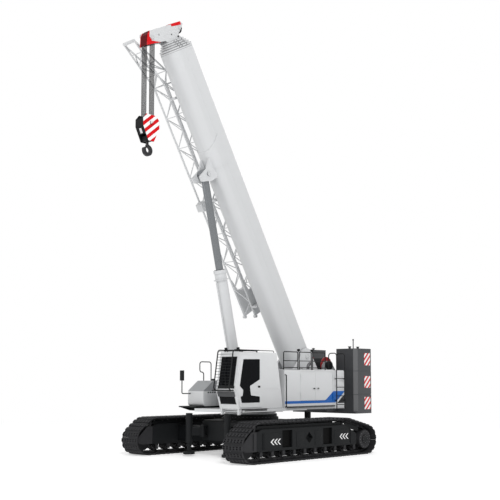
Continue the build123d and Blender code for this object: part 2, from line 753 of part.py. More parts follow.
export_step(carbody.part, "parts/carbody.step")

with BuildPart() as slew_ring_lower:
    with BuildSketch(Plane.XY.offset(RING_BASE_TOP)):
        Circle(RING_RADIUS)
        Circle(RING_BORE, mode=Mode.SUBTRACT)
    extrude(amount=RING_SPLIT - RING_BASE_TOP)
slew_ring_lower.part.label = "slew_ring_lower"
export_step(slew_ring_lower.part, "parts/slew_ring_lower.step")


# Swing-out jacks
for name, pin_x, pin_y, post_x, post_y in JACKS:
    arm_length = hypot(post_x - pin_x, post_y - pin_y)
    arm_turn = degrees(atan2(post_y - pin_y, post_x - pin_x))
    with BuildPart() as arm:
        with BuildSketch(Plane.XY.offset(JACK_ARM_BOTTOM)):
            with Locations((pin_x, pin_y)):
                Circle(JACK_LUG_RADIUS)
            with Locations(Location(((pin_x + post_x) / 2, (pin_y + post_y) / 2, 0), (0, 0, arm_turn))):
                Rectangle(arm_length, JACK_ARM_WIDTH)
        extrude(amount=JACK_ARM_TOP - JACK_ARM_BOTTOM)
        with BuildSketch(Plane.XY.offset(JACK_TUBE_BOTTOM)):
            with Locations((post_x, post_y)):
                Circle(JACK_TUBE_RADIUS)
        extrude(amount=JACK_TUBE_TOP - JACK_TUBE_BOTTOM)
        with BuildSketch(Plane.XY.offset(JACK_TUBE_BOTTOM)):
            with Locations((post_x, post_y)):
                Circle(JACK_ROD_RADIUS + SHAFT_FIT)
        extrude(amount=JACK_ROD_TOP + CARRIER_RADIUS - JACK_TUBE_BOTTOM, mode=Mode.SUBTRACT)
        with BuildSketch(Plane.XY.offset(JACK_ARM_BOTTOM)):
            with Locations((pin_x, pin_y)):
                Circle(JACK_PIN_RADIUS + SHAFT_FIT)
        extrude(amount=JACK_ARM_TOP - JACK_ARM_BOTTOM, mode=Mode.SUBTRACT)
    arm.part.label = f"jack_arm_{name}"
    export_step(arm.part, f"parts/jack_arm_{name}.step")

    with BuildPart() as foot:
        with BuildSketch(Plane.XY.offset(JACK_PAD_BOTTOM)):
            with Locations((post_x, post_y)):
                Circle(JACK_PAD_RADIUS)
        extrude(amount=JACK_PAD_TOP - JACK_PAD_BOTTOM)
        with BuildSketch(Plane.XY.offset(JACK_PAD_TOP)):
            with Locations((post_x, post_y)):
                Circle(JACK_ROD_RADIUS)
        extrude(amount=JACK_ROD_TOP - JACK_PAD_TOP)
    foot.part.label = f"jack_foot_{name}"
    export_step(foot.part, f"parts/jack_foot_{name}.step")


# Turntable: upper ring, spine plate, boom-foot cheeks and luffing-cylinder lugs
with BuildPart() as turntable:
    with BuildSketch(Plane.XY.offset(RING_SPLIT + RUNNING_GAP)):
        Circle(UPPER_RING_RADIUS)
        Circle(RING_BORE, mode=Mode.SUBTRACT)
    extrude(amount=UPPER_BOTTOM - RING_SPLIT - RUNNING_GAP)
    with BuildSketch(Plane.XY.offset(UPPER_BOTTOM)):
        with Locations(((SPINE_FRONT + SPINE_REAR) / 2, 0)):
            Rectangle(SPINE_FRONT - SPINE_REAR, 2 * SPINE_HALF_WIDTH)
    extrude(amount=SPINE_TOP - UPPER_BOTTOM)
    for hand_y in (-1, 1):
        plane, thickness = span(hand_y * CHEEK_INNER, hand_y * (CHEEK_INNER + CHEEK_THICKNESS))
        with BuildSketch(plane):
            Polygon(
                (SPINE_REAR, SPINE_TOP),
                (CHEEK_TOE_X, SPINE_TOP),
                (CHEEK_TOE_X, CHEEK_TOE_Z),
                (CHEEK_KNEE_X, CHEEK_KNEE_Z),
                (FOOT_PIN_X + CHEEK_EYE_RADIUS, FOOT_PIN_Z),
                (FOOT_PIN_X - CHEEK_EYE_RADIUS, FOOT_PIN_Z),
                (SPINE_REAR, CHEEK_TAIL_Z),
                align=None,
            )
            with Locations((FOOT_PIN_X, FOOT_PIN_Z)):
                Circle(CHEEK_EYE_RADIUS)
                Circle(FOOT_PIN_RADIUS + SHAFT_FIT, mode=Mode.SUBTRACT)
        extrude(amount=thickness)
        plane, thickness = span(hand_y * LUG_INNER, hand_y * (LUG_INNER + LUG_THICKNESS))
        with BuildSketch(plane):
            Polygon(
                (LUFF_FOOT_X - 2 * LUFF_LUG_RADIUS, SPINE_TOP),
                (LUFF_FOOT_X + 2 * LUFF_LUG_RADIUS, SPINE_TOP),
                (LUFF_FOOT_X + LUFF_LUG_RADIUS, LUFF_FOOT_Z),
                (LUFF_FOOT_X - LUFF_LUG_RADIUS, LUFF_FOOT_Z),
                align=None,
            )
            with Locations((LUFF_FOOT_X, LUFF_FOOT_Z)):
                Circle(LUFF_LUG_RADIUS)
        extrude(amount=thickness)
    with BuildSketch(side()):
        with Locations((FOOT_PIN_X, FOOT_PIN_Z)):
            Circle(FOOT_PIN_RADIUS)
    extrude(amount=CHEEK_INNER + CHEEK_THICKNESS + PIN_PROUD, both=True)
turntable.part.label = "turntable"
export_step(turntable.part, "parts/turntable.step")

with BuildPart() as side_decks:
    for hand_y, front_x in ((1, DECK_FRONT_LEFT), (-1, DECK_FRONT_RIGHT)):
        with Locations((DECK_REAR, hand_y * SPINE_HALF_WIDTH, UPPER_BOTTOM)):
            Box(
                front_x - DECK_REAR,
                CAB_WALL_Y - SPINE_HALF_WIDTH,
                CAB_BOTTOM - UPPER_BOTTOM,
                align=(Align.MIN, Align.MIN if hand_y > 0 else Align.MAX, Align.MIN),
            )
    with BuildSketch(Plane.XY.offset(CAB_BOTTOM)):
        Polygon(
            (SIDE_STEP_REAR, CAB_WALL_Y),
            (DECK_FRONT_LEFT, CAB_WALL_Y),
            (DECK_FRONT_LEFT, CAB_WALL_Y + SIDE_STEP_DEPTH),
            (SIDE_STEP_REAR + 2 * SIDE_STEP_DEPTH, CAB_WALL_Y + SIDE_STEP_DEPTH),
            align=None,
        )
    extrude(amount=-SIDE_STEP_PLATE)
    with BuildLine(Plane.YZ.offset(GRAB_X)):
        FilletPolyline(
            (HALF_WIDTH, GRAB_TOP),
            (HALF_WIDTH + GRAB_PROUD, GRAB_TOP),
            (HALF_WIDTH + GRAB_PROUD, GRAB_BOTTOM),
            (HALF_WIDTH, GRAB_BOTTOM),
            radius=2 * RAIL_TUBE,
        )
    with BuildSketch(side(HALF_WIDTH)):
        with Locations((GRAB_X, GRAB_TOP)):
            Circle(RAIL_TUBE)
    sweep()
side_decks.part.label = "side_decks"
export_step(side_decks.part, "parts/side_decks.step")


# Cab: a shell with openings, its glass, seat, sliding door and front guard
def cab_outline(inset):
    """Side outline of the cab: leaning windscreen over a waist, drawn in by an inset."""
    with BuildSketch() as outline:
        Polygon(
            (CAB_REAR + inset, CAB_BOTTOM + inset),
            (CAB_FRONT_LOW - inset, CAB_BOTTOM + inset),
            (CAB_FRONT_WAIST - inset, CAB_WAIST_Z),
            (CAB_FRONT_TOP - inset, CAB_TOP - inset),
            (CAB_REAR_TOP + inset, CAB_TOP - inset),
            align=None,
        )
    return outline.sketch


rear_cut = CAB_REAR_TOP - CAB_REAR + 2 * CAB_WALL
with BuildPart() as cab_shell:
    plane, thickness = span(CAB_INNER_Y, CAB_WALL_Y)
    with BuildSketch(plane):
        add(cab_outline(0))
    extrude(amount=thickness)
    fillet(cab_shell.faces().sort_by(Axis.Z)[-1].edges().sort_by(Axis.Y)[-1], CAB_EDGE_RADIUS)
    plane, thickness = span(CAB_INNER_Y + CAB_WALL, CAB_WALL_Y - CAB_WALL)
    with BuildSketch(plane):
        add(cab_outline(CAB_WALL))
    extrude(amount=thickness, mode=Mode.SUBTRACT)
    plane, thickness = span(CAB_WALL_Y - CAB_WALL, CAB_WALL_Y)
    with BuildSketch(plane):
        Polygon(
            (DOOR_REAR + DOOR_LAP, DOOR_BOTTOM + DOOR_LAP),
            (CAB_FRONT_LOW - PILLAR, DOOR_BOTTOM + DOOR_LAP),
            (CAB_FRONT_WAIST - PILLAR, CAB_WAIST_Z),
            (CAB_FRONT_TOP - PILLAR, DOOR_TOP - DOOR_LAP),
            (DOOR_REAR + DOOR_LAP, DOOR_TOP - DOOR_LAP),
            align=None,
        )
    extrude(amount=thickness, mode=Mode.SUBTRACT)
    plane, thickness = span(CAB_INNER_Y, CAB_INNER_Y + CAB_WALL)
    with BuildSketch(plane):
        Polygon(
            (CAB_REAR_TOP + PILLAR, CAB_WAIST_Z),
            (CAB_FRONT_WAIST - PILLAR, CAB_WAIST_Z),
            (CAB_FRONT_TOP - PILLAR, DOOR_TOP - DOOR_LAP),
            (CAB_REAR_TOP + PILLAR, DOOR_TOP - DOOR_LAP),
            align=None,
        )
    extrude(amount=thickness, mode=Mode.SUBTRACT)
    screen_y = (CAB_INNER_Y + CAB_WALL_Y) / 2
    screen_width = CAB_WALL_Y - CAB_INNER_Y - 2 * PILLAR
    for low, high in ((SCREEN_LOW, SCREEN_HIGH), (SILL_LOW, SILL_HIGH)):
        with Locations((CAB_FRONT_WAIST, screen_y, (low + high) / 2)):
            Box(SCREEN_CUT, screen_width, high - low, mode=Mode.SUBTRACT)
    with Locations(((ROOF_LIGHT_REAR + ROOF_LIGHT_FRONT) / 2, screen_y, CAB_TOP)):
        Box(ROOF_LIGHT_FRONT - ROOF_LIGHT_REAR, screen_width, 4 * CAB_WALL, mode=Mode.SUBTRACT)
    with Locations(((CAB_REAR + CAB_REAR_TOP) / 2, screen_y, (CAB_WAIST_Z + DOOR_TOP) / 2)):
        Box(rear_cut, screen_width, DOOR_TOP - CAB_WAIST_Z - 2 * DOOR_LAP, mode=Mode.SUBTRACT)
    with Locations((sum(DOOR_RAIL) / 2, CAB_WALL_Y, DOOR_RAIL_Z)):
        Box(DOOR_RAIL[1] - DOOR_RAIL[0], 2 * DOOR_RAIL_DEPTH, DOOR_RAIL_HEIGHT, mode=Mode.SUBTRACT)
    for y in (CAB_INNER_Y + CAB_LUG[1], CAB_WALL_Y - CAB_LUG[1]):
        with Locations((CAB_FRONT_LOW - CAB_LUG[0] / 2, y, CAB_BOTTOM)):
            Box(CAB_LUG[0], CAB_LUG[1], CAB_LUG[2], align=(Align.CENTER, Align.CENTER, Align.MAX))
cab_shell.part.label = "cab_shell"
export_step(cab_shell.part, "parts/cab_shell.step")

with BuildPart() as cab_glass:
    plane, thickness = span(screen_y - screen_width / 2, screen_y + screen_width / 2)
    with BuildSketch(plane):
        add(cab_outline(0))
        add(cab_outline(GLASS), mode=Mode.SUBTRACT)
    extrude(amount=thickness)
    panes = (
        (CAB_FRONT_WAIST, SCREEN_CUT, SCREEN_LOW, SCREEN_HIGH),
        (CAB_FRONT_WAIST, SCREEN_CUT, SILL_LOW, SILL_HIGH),
        ((CAB_REAR + CAB_REAR_TOP) / 2, rear_cut, CAB_WAIST_Z + DOOR_LAP, DOOR_TOP - DOOR_LAP),
        (
            (ROOF_LIGHT_REAR + ROOF_LIGHT_FRONT) / 2,
            ROOF_LIGHT_FRONT - ROOF_LIGHT_REAR,
            CAB_TOP - CAB_WALL,
            CAB_TOP,
        ),
    )
    with BuildSketch(plane):
        for x, length, low, high in panes:
            with Locations((x, (low + high) / 2)):
                Rectangle(length, high - low)
    extrude(amount=thickness, mode=Mode.INTERSECT)
    plane, thickness = span(CAB_INNER_Y, CAB_INNER_Y + GLASS)
    with BuildSketch(plane):
        Polygon(
            (CAB_REAR_TOP + PILLAR, CAB_WAIST_Z),
            (CAB_FRONT_WAIST - PILLAR, CAB_WAIST_Z),
            (CAB_FRONT_TOP - PILLAR, DOOR_TOP - DOOR_LAP),
            (CAB_REAR_TOP + PILLAR, DOOR_TOP - DOOR_LAP),
            align=None,
        )
    extrude(amount=thickness)
cab_glass.part.label = "cab_glass"
export_step(cab_glass.part, "parts/cab_glass.step")

cab_floor = CAB_BOTTOM + CAB_WALL
with BuildPart() as cab_interior:
    with Locations((SEAT_X, screen_y, cab_floor)):
        Box(SEAT_BASE, SEAT_BASE, SEAT_BASE_HEIGHT, align=(Align.CENTER, Align.CENTER, Align.MIN))
    with Locations((SEAT_X, screen_y, cab_floor + SEAT_BASE_HEIGHT)):
        Box(SEAT_DEPTH, SEAT_WIDTH, SEAT_CUSHION, align=(Align.CENTER, Align.CENTER, Align.MIN))
    with BuildSketch(side(screen_y)):
        seat_top = cab_floor + SEAT_BASE_HEIGHT + SEAT_CUSHION
        seat_back_x = SEAT_X - SEAT_DEPTH / 2
        Polygon(
            (seat_back_x, seat_top),
            (seat_back_x + SEAT_CUSHION, seat_top),
            (seat_back_x + SEAT_CUSHION - SEAT_RAKE, seat_top + SEAT_BACK),
            (seat_back_x - SEAT_RAKE, seat_top + SEAT_BACK),
            align=None,
        )
    extrude(amount=SEAT_WIDTH / 2, both=True)
    for hand_y in (-1, 1):
        with Locations((SEAT_X + CONSOLE_AHEAD, screen_y + hand_y * CONSOLE_SIDE, cab_floor)):
            Box(CONSOLE[0], CONSOLE[1], CONSOLE[2], align=(Align.CENTER, Align.CENTER, Align.MIN))
        with Locations((
            SEAT_X + CONSOLE_AHEAD + CONSOLE[0] / 3,
            screen_y + hand_y * CONSOLE_SIDE,
            cab_floor + CONSOLE[2],
        )):
            Cylinder(LEVER_RADIUS, LEVER_HEIGHT, align=(Align.CENTER, Align.CENTER, Align.MIN))
cab_interior.part.label = "cab_interior"
export_step(cab_interior.part, "parts/cab_interior.step")

with BuildSketch() as window_outline:
    Polygon(
        (1860, 3120),
        (1110, 3130),
        (1110, 2490),
        (1560, 2280),
        (1510, 1990),
        (1110, 1950),
        (1110, 1760),
        (1930, 1760),
        (1985, 1950),
        (1890, 1985),
        (1870, 2160),
        (2020, 2290),
        align=None,
    )
    fillet(window_outline.vertices(), WINDOW_CORNER)
door_window = window_outline.sketch
door_inner_y = CAB_WALL_Y + RUNNING_GAP
with BuildPart() as cab_door:
    plane, thickness = span(door_inner_y, door_inner_y + DOOR_THICKNESS)
    with BuildSketch(plane):
        Polygon(
            (DOOR_REAR, DOOR_BOTTOM),
            (CAB_FRONT_LOW - DOOR_MARGIN, DOOR_BOTTOM),
            (CAB_FRONT_WAIST - DOOR_MARGIN, CAB_WAIST_Z),
            (CAB_FRONT_TOP - DOOR_MARGIN, DOOR_TOP),
            (DOOR_REAR, DOOR_TOP),
            align=None,
        )
    extrude(amount=thickness)
    with BuildSketch(plane):
        add(door_window)
    extrude(amount=thickness, mode=Mode.SUBTRACT)
cab_door.part.label = "cab_door"
export_step(cab_door.part, "parts/cab_door.step")

with BuildPart() as cab_door_glass:
    glass_y = door_inner_y + (DOOR_THICKNESS - GLASS) / 2
    plane, thickness = span(glass_y, glass_y + GLASS)
    with BuildSketch(plane):
        add(door_window)
    extrude(amount=thickness)
cab_door_glass.part.label = "cab_door_glass"
export_step(cab_door_glass.part, "parts/cab_door_glass.step")

# Guard before the windscreen: a tube frame, its two feet and flat bars across
guard_low = (CAB_FRONT_WAIST + GUARD_STANDOFF, CAB_WAIST_Z)
guard_high = (CAB_FRONT_TOP + GUARD_STANDOFF, CAB_TOP + GUARD_RISE)
with BuildPart() as front_guard:
    for y in (screen_y - screen_width / 2, screen_y + screen_width / 2):
        with BuildLine(side(y)):
            FilletPolyline(
                (CAB_FRONT_WAIST, CAB_WAIST_Z),
                guard_low,
                guard_high,
                (CAB_FRONT_TOP - GUARD_STANDOFF, CAB_TOP + GUARD_RISE),
                (CAB_FRONT_TOP - GUARD_STANDOFF, CAB_TOP),
                radius=(GUARD_BEND, GUARD_BEND, GUARD_FOOT_BEND),
            )
        with BuildSketch(Plane.YZ.offset(CAB_FRONT_WAIST)):
            with Locations((y, CAB_WAIST_Z)):
                Circle(GUARD_TUBE_RADIUS)
        sweep()
    for i in range(GUARD_BARS):
        share = (i + 0.5) / GUARD_BARS
        bar_x = guard_low[0] + (guard_high[0] - guard_low[0]) * share
        bar_z = guard_low[1] + (guard_high[1] - guard_low[1]) * share
        with Locations((bar_x, screen_y, bar_z)):
            Box(GUARD_BAR, screen_width, GUARD_BAR)
    roof_z = CAB_TOP + GUARD_RISE
    guard_span = ROOF_GUARD_FRONT - ROOF_GUARD_REAR
    for i in range(ROOF_GUARD_BARS):
        x = ROOF_GUARD_REAR + ROOF_GUARD_BAR / 2 + (guard_span - ROOF_GUARD_BAR) * i / (ROOF_GUARD_BARS - 1)
        with Locations((x, screen_y, roof_z)):
            Box(ROOF_GUARD_BAR, CAB_WALL_Y - CAB_INNER_Y - ROOF_GUARD_BAR, ROOF_GUARD_BAR)
    for y in (CAB_INNER_Y + ROOF_GUARD_BAR, CAB_WALL_Y - ROOF_GUARD_BAR):
        with Locations(((ROOF_GUARD_FRONT + ROOF_GUARD_REAR) / 2, y, roof_z)):
            Box(guard_span, ROOF_GUARD_BAR, ROOF_GUARD_BAR)
        for x in (ROOF_GUARD_REAR + 2 * ROOF_GUARD_BAR, ROOF_GUARD_FRONT - 2 * ROOF_GUARD_BAR):
            seat_y = y if y < screen_y else y - CAB_EDGE_RADIUS + ROOF_GUARD_BAR / 2
            with Locations((x, seat_y, CAB_TOP)):
                Box(ROOF_GUARD_BAR, ROOF_GUARD_BAR, GUARD_RISE, align=(Align.CENTER, Align.CENTER, Align.MIN))
    rail_y = CAB_WALL_Y - CAB_EDGE_RADIUS - ROOF_GUARD_BAR
    with BuildLine(side(rail_y)):
        FilletPolyline(
            (ROOF_GUARD_REAR, roof_z),
            (ROOF_RAIL_REAR, roof_z),
            (ROOF_RAIL_REAR, CAB_TOP),
            radius=GUARD_FOOT_BEND,
        )
    with BuildSketch(Plane.YZ.offset(ROOF_GUARD_REAR)):
        with Locations((rail_y, roof_z)):
            Circle(GUARD_BAR)
    sweep()
front_guard.part.label = "front_guard"
export_step(front_guard.part, "parts/front_guard.step")


# Engine house on the left: a shell with two hinged doors, the engine behind them
with BuildPart() as house_left:
    with Locations((HOUSE_REAR, SPINE_HALF_WIDTH, HOUSE_BOTTOM)):
        Box(
            HOUSE_FRONT - HOUSE_REAR,
            HALF_WIDTH - SPINE_HALF_WIDTH,
            HOUSE_TOP - HOUSE_BOTTOM,
            align=(Align.MIN, Align.MIN, Align.MIN),
        )
    fillet(house_left.faces().sort_by(Axis.Z)[-1].edges().sort_by(Axis.Y)[-1], HOUSE_EDGE_RADIUS)
    with Locations((HOUSE_REAR + HOUSE_WALL, SPINE_HALF_WIDTH + HOUSE_WALL, HOUSE_BOTTOM + HOUSE_WALL)):
        Box(
            HOUSE_FRONT - HOUSE_REAR - 2 * HOUSE_WALL,
            HALF_WIDTH - SPINE_HALF_WIDTH - 2 * HOUSE_WALL,
            HOUSE_TOP - HOUSE_BOTTOM - 2 * HOUSE_WALL,
            align=(Align.MIN, Align.MIN, Align.MIN),
            mode=Mode.SUBTRACT,
        )
    plane, thickness = span(HALF_WIDTH - HOUSE_WALL, HALF_WIDTH)
    with BuildSketch(plane):
        with Locations(((LEAF_FRONT + LEAF_REAR) / 2, (LEAF_BOTTOM + LEAF_TOP) / 2)):
            Rectangle(LEAF_FRONT - LEAF_REAR, LEAF_TOP - LEAF_BOTTOM)
    extrude(amount=thickness, mode=Mode.SUBTRACT)
    for edge_x, hand_x in ((LEAF_FRONT, 1), (LEAF_REAR, -1)):
        for z in HINGE_HEIGHTS:
            add(hinge_half(edge_x - hand_x * SIDE_GAP / 2, hand_x, z + HINGE_LENGTH, True))
            add(hinge_half(edge_x - hand_x * SIDE_GAP / 2, hand_x, z - HINGE_LENGTH, True))
house_left.part.label = "house_left"
export_step(house_left.part, "parts/house_left.step")

leaves = (
    ("service_door_front", LEAF_SPLIT + SIDE_GAP / 2, LEAF_FRONT - SIDE_GAP, LEAF_FRONT - SIDE_GAP / 2, -1),
    ("service_door_rear", LEAF_REAR + SIDE_GAP, LEAF_SPLIT - SIDE_GAP / 2, LEAF_REAR + SIDE_GAP / 2, 1),
)
for name, rear_x, front_x, hinge_x, hand_x in leaves:
    with BuildPart() as leaf:
        with Locations((rear_x, HALF_WIDTH, LEAF_BOTTOM + SIDE_GAP)):
            Box(
                front_x - rear_x,
                HOUSE_WALL,
                LEAF_TOP - LEAF_BOTTOM - 2 * SIDE_GAP,
                align=(Align.MIN, Align.MAX, Align.MIN),
            )
        for z in HINGE_HEIGHTS:
            add(hinge_half(hinge_x, hand_x, z, False))
        handle_x = rear_x + HANDLE_INSET if hand_x < 0 else front_x - HANDLE_INSET
        with Locations((handle_x, HALF_WIDTH, HANDLE_Z)):
            Box(HANDLE[0], HANDLE[1], HANDLE[2], align=(Align.CENTER, Align.MIN, Align.CENTER))
    leaf.part.label = name
    export_step(leaf.part, f"parts/{name}.step")

with BuildPart() as engine_block:
    with Locations(((LEAF_FRONT + LEAF_REAR) / 2, (SPINE_HALF_WIDTH + HALF_WIDTH) / 2, HOUSE_BOTTOM + HOUSE_WALL)):
        Box(ENGINE[0], ENGINE[1], ENGINE[2], align=(Align.CENTER, Align.CENTER, Align.MIN))
    chamfer(engine_block.edges().filter_by(Axis.X), ENGINE_CHAMFER)
engine_block.part.label = "engine_block"
export_step(engine_block.part, "parts/engine_block.step")

with BuildPart() as ladder:
    rail_y = HALF_WIDTH + LADDER_STANDOFF
    for x in (LADDER_FRONT, LADDER_REAR):
        with BuildLine(Plane.YZ.offset(x)):
            FilletPolyline(
                (rail_y, HOUSE_BOTTOM),
                (rail_y, RAIL_TOP),
                (rail_y - LADDER_LOOP, RAIL_TOP),
                (rail_y - LADDER_LOOP, HOUSE_TOP),
                radius=GUARD_BEND,
            )
        with BuildSketch(Plane.XY.offset(HOUSE_BOTTOM)):
            with Locations((x, rail_y)):
                Circle(RAIL_TUBE)
        sweep()
        for z in (HOUSE_BOTTOM + LADDER_RUNG, HOUSE_TOP - LADDER_RUNG):
            with Locations((x, (HALF_WIDTH + rail_y) / 2, z)):
                Box(2 * RAIL_TUBE, LADDER_STANDOFF, 2 * RAIL_TUBE)
    rung_count = int((HOUSE_TOP - HOUSE_BOTTOM) // LADDER_RUNG)
    for i in range(rung_count):
        with Locations(((LADDER_FRONT + LADDER_REAR) / 2, rail_y, HOUSE_BOTTOM + LADDER_RUNG * (i + 0.5))):
            Box(LADDER_FRONT - LADDER_REAR, RAIL_TUBE * 1.5, RAIL_TUBE * 1.5)
ladder.part.label = "ladder"
export_step(ladder.part, "parts/ladder.step")

with BuildPart() as roof_handrails:
    rail_y = HALF_WIDTH - HOUSE_EDGE_RADIUS - RAIL_TUBE
    for front_x, rear_x in HANDRAIL_SPANS:
        with BuildLine(side(rail_y)):
            FilletPolyline(
                (front_x, HOUSE_TOP),
                (front_x, RAIL_TOP),
                (rear_x, RAIL_TOP),
                (rear_x, HOUSE_TOP),
                radius=3 * RAIL_TUBE,
            )
        with BuildSketch(Plane.XY.offset(HOUSE_TOP)):
            with Locations((front_x, rail_y)):
                Circle(RAIL_TUBE)
        sweep()
        for z in (HOUSE_TOP + RAIL_FOOT, (HOUSE_TOP + RAIL_TOP) / 2):
            with Locations(((front_x + rear_x) / 2, rail_y, z)):
                Box(front_x - rear_x, 1.5 * RAIL_TUBE, 1.5 * RAIL_TUBE)
roof_handrails.part.label = "roof_handrails"
export_step(roof_handrails.part, "parts/roof_handrails.step")


# Right-hand side
with BuildPart() as house_right:
    with Locations((HOUSE_REAR, -SPINE_HALF_WIDTH, HOUSE_BOTTOM)):
        Box(
            RIGHT_HOUSE_FRONT - HOUSE_REAR,
            HALF_WIDTH - SPINE_HALF_WIDTH,
            RIGHT_HOUSE_TOP - HOUSE_BOTTOM,
            align=(Align.MIN, Align.MAX, Align.MIN),
        )
    fillet(house_right.faces().sort_by(Axis.Z)[-1].edges().sort_by(Axis.Y)[0], HOUSE_EDGE_RADIUS)
house_right.part.label = "house_right"
export_step(house_right.part, "parts/house_right.step")

box_bottom = CAB_BOTTOM + STEP_PLATE
with BuildPart() as tank_box:
    plane, thickness = span(RIGHT_BOX_INNER, -HALF_WIDTH)
    with BuildSketch(plane):
        Polygon(
            (RIGHT_HOUSE_FRONT, box_bottom),
            (RIGHT_BOX_FRONT, box_bottom),
            (RIGHT_BOX_FRONT, HOOD_FRONT_Z),
            (HOOD_REAR_X, RIGHT_BOX_TOP),
            (RIGHT_HOUSE_FRONT, RIGHT_BOX_TOP),
            align=None,
        )
    extrude(amount=thickness)
    fillet(tank_box.edges().filter_by(Axis.Y).sort_by(Axis.X)[-3:], TANK_NOSE_RADIUS)
    plane, thickness = span(-SPINE_HALF_WIDTH - RUNNING_GAP, -CAB_WALL_Y)
    with BuildSketch(plane):
        with Locations(((RIGHT_HOUSE_FRONT + DECK_REAR) / 2, (UPPER_BOTTOM + box_bottom) / 2)):
            Rectangle(DECK_REAR - RIGHT_HOUSE_FRONT, box_bottom - UPPER_BOTTOM)
    extrude(amount=thickness)
tank_box.part.label = "tank_box"
export_step(tank_box.part, "parts/tank_box.step")

with BuildPart() as right_fittings:
    with Locations((STEP_REAR, -HALF_WIDTH, CAB_BOTTOM)):
        Box(
            STEP_FRONT - STEP_REAR,
            HALF_WIDTH + RIGHT_BOX_INNER,
            STEP_PLATE,
            align=(Align.MIN, Align.MIN, Align.MIN),
        )
    for y in (-HALF_WIDTH + 2 * STEP_BRACKET, RIGHT_BOX_INNER - STEP_BRACKET):
        plane, thickness = span(y, y - STEP_BRACKET)
        with BuildSketch(plane):
            Polygon(
                (DECK_FRONT_RIGHT, CAB_BOTTOM),
                (STEP_FRONT - STEP_BRACKET, CAB_BOTTOM),
                (DECK_FRONT_RIGHT, UPPER_BOTTOM),
                align=None,
            )
        extrude(amount=thickness)
    rail_y = -HALF_WIDTH + HOUSE_EDGE_RADIUS
    with BuildLine(side(rail_y)):
        FilletPolyline(
            (RIGHT_RAIL_REAR, RIGHT_BOX_TOP),
            (RIGHT_RAIL_REAR, RIGHT_RAIL_TOP),
            (RIGHT_RAIL_FRONT, RIGHT_RAIL_TOP),
            (RIGHT_RAIL_FRONT, RIGHT_RAIL_TOP - RIGHT_RAIL_CROOK),
            (RIGHT_RAIL_FRONT - RIGHT_RAIL_STEP, RIGHT_RAIL_TOP - RIGHT_RAIL_CROOK),
            (RIGHT_RAIL_FRONT - RIGHT_RAIL_STEP, RIGHT_BOX_TOP),
            radius=RIGHT_RAIL_STEP / 2 - 1,
        )
    with BuildSketch(Plane.XY.offset(RIGHT_BOX_TOP)):
        with Locations((RIGHT_RAIL_REAR, rail_y)):
            Circle(RAIL_TUBE)
    sweep()
    mirror_x = RIGHT_BOX_FRONT + MIRROR_REACH
    with BuildLine(side(MIRROR_Y)):
        FilletPolyline(
            (RIGHT_BOX_FRONT, MIRROR_ARM_Z),
            (mirror_x, MIRROR_ARM_Z),
            (mirror_x, MIRROR_Z),
            radius=3 * RAIL_TUBE,
        )
    with BuildSketch(Plane.YZ.offset(RIGHT_BOX_FRONT)):
        with Locations((MIRROR_Y, MIRROR_ARM_Z)):
            Circle(RAIL_TUBE)
    sweep()
    with Locations((mirror_x, MIRROR_Y, MIRROR_Z)):
        Box(MIRROR[0], MIRROR[1], MIRROR[2], align=(Align.CENTER, Align.CENTER, Align.MIN))
right_fittings.part.label = "right_fittings"
export_step(right_fittings.part, "parts/right_fittings.step")


# Tail: counterweight tray and stacks, winch plates and drums
with BuildPart() as tail_frame:
    with Locations((STACK_REAR, 0, TRAY_BOTTOM)):
        Box(
            STACK_FRONT - STACK_REAR,
            2 * HALF_WIDTH,
            STACK_BOTTOM - TRAY_BOTTOM,
            align=(Align.MIN, Align.CENTER, Align.MIN),
        )
    with Locations((STACK_REAR, 0, STACK_BOTTOM)):
        Box(
            SPINE_REAR - STACK_REAR,
            2 * TAIL_HALF_WIDTH,
            TAIL_TOP - STACK_BOTTOM,
            align=(Align.MIN, Align.CENTER, Align.MIN),
        )
    for hand_y in (-1, 1):
        plane, thickness = span(hand_y * WINCH_PLATE_INNER, hand_y * (WINCH_PLATE_INNER + WINCH_PLATE))
        with BuildSketch(plane):
            Polygon(
                (STACK_REAR + WINCH_SETBACK, TAIL_TOP),
                (SPINE_REAR, TAIL_TOP),
                (SPINE_REAR, AUX_DRUM_Z),
                (AUX_DRUM_X + WINCH_TOP_HALF, AUX_DRUM_Z + WINCH_TOP_HALF),
                (AUX_DRUM_X - WINCH_TOP_HALF, AUX_DRUM_Z + WINCH_TOP_HALF),
                (STACK_REAR + WINCH_SETBACK, MAIN_DRUM_Z + WINCH_TOP_HALF),
                align=None,
            )
            with Locations((MAIN_DRUM_X, MAIN_DRUM_Z), (AUX_DRUM_X, AUX_DRUM_Z)):
                Circle(SHEAVE_PIN_RADIUS + SHAFT_FIT, mode=Mode.SUBTRACT)
        extrude(amount=thickness)
tail_frame.part.label = "tail_frame"
export_step(tail_frame.part, "parts/tail_frame.step")

drums = (
    ("winch_drum_main", MAIN_DRUM_X, MAIN_DRUM_Z, MAIN_FLANGE_RADIUS),
    ("winch_drum_aux", AUX_DRUM_X, AUX_DRUM_Z, AUX_FLANGE_RADIUS),
)
for name, x, z, flange_radius in drums:
    with BuildPart() as drum:
        discs = (
            (DRUM_RADIUS, -DRUM_HALF_WIDTH, DRUM_HALF_WIDTH),
            (flange_radius, -DRUM_HALF_WIDTH - DRUM_FLANGE, -DRUM_HALF_WIDTH),
            (flange_radius, DRUM_HALF_WIDTH, DRUM_HALF_WIDTH + DRUM_FLANGE),
            (SHEAVE_PIN_RADIUS, -WINCH_PLATE_INNER - WINCH_PLATE, WINCH_PLATE_INNER + WINCH_PLATE),
        )
        for radius, y_a, y_b in discs:
            plane, thickness = span(y_a, y_b)
            with BuildSketch(plane):
                with Locations((x, z)):
                    Circle(radius)
            extrude(amount=thickness)
    drum.part.label = name
    export_step(drum.part, f"parts/{name}.step")

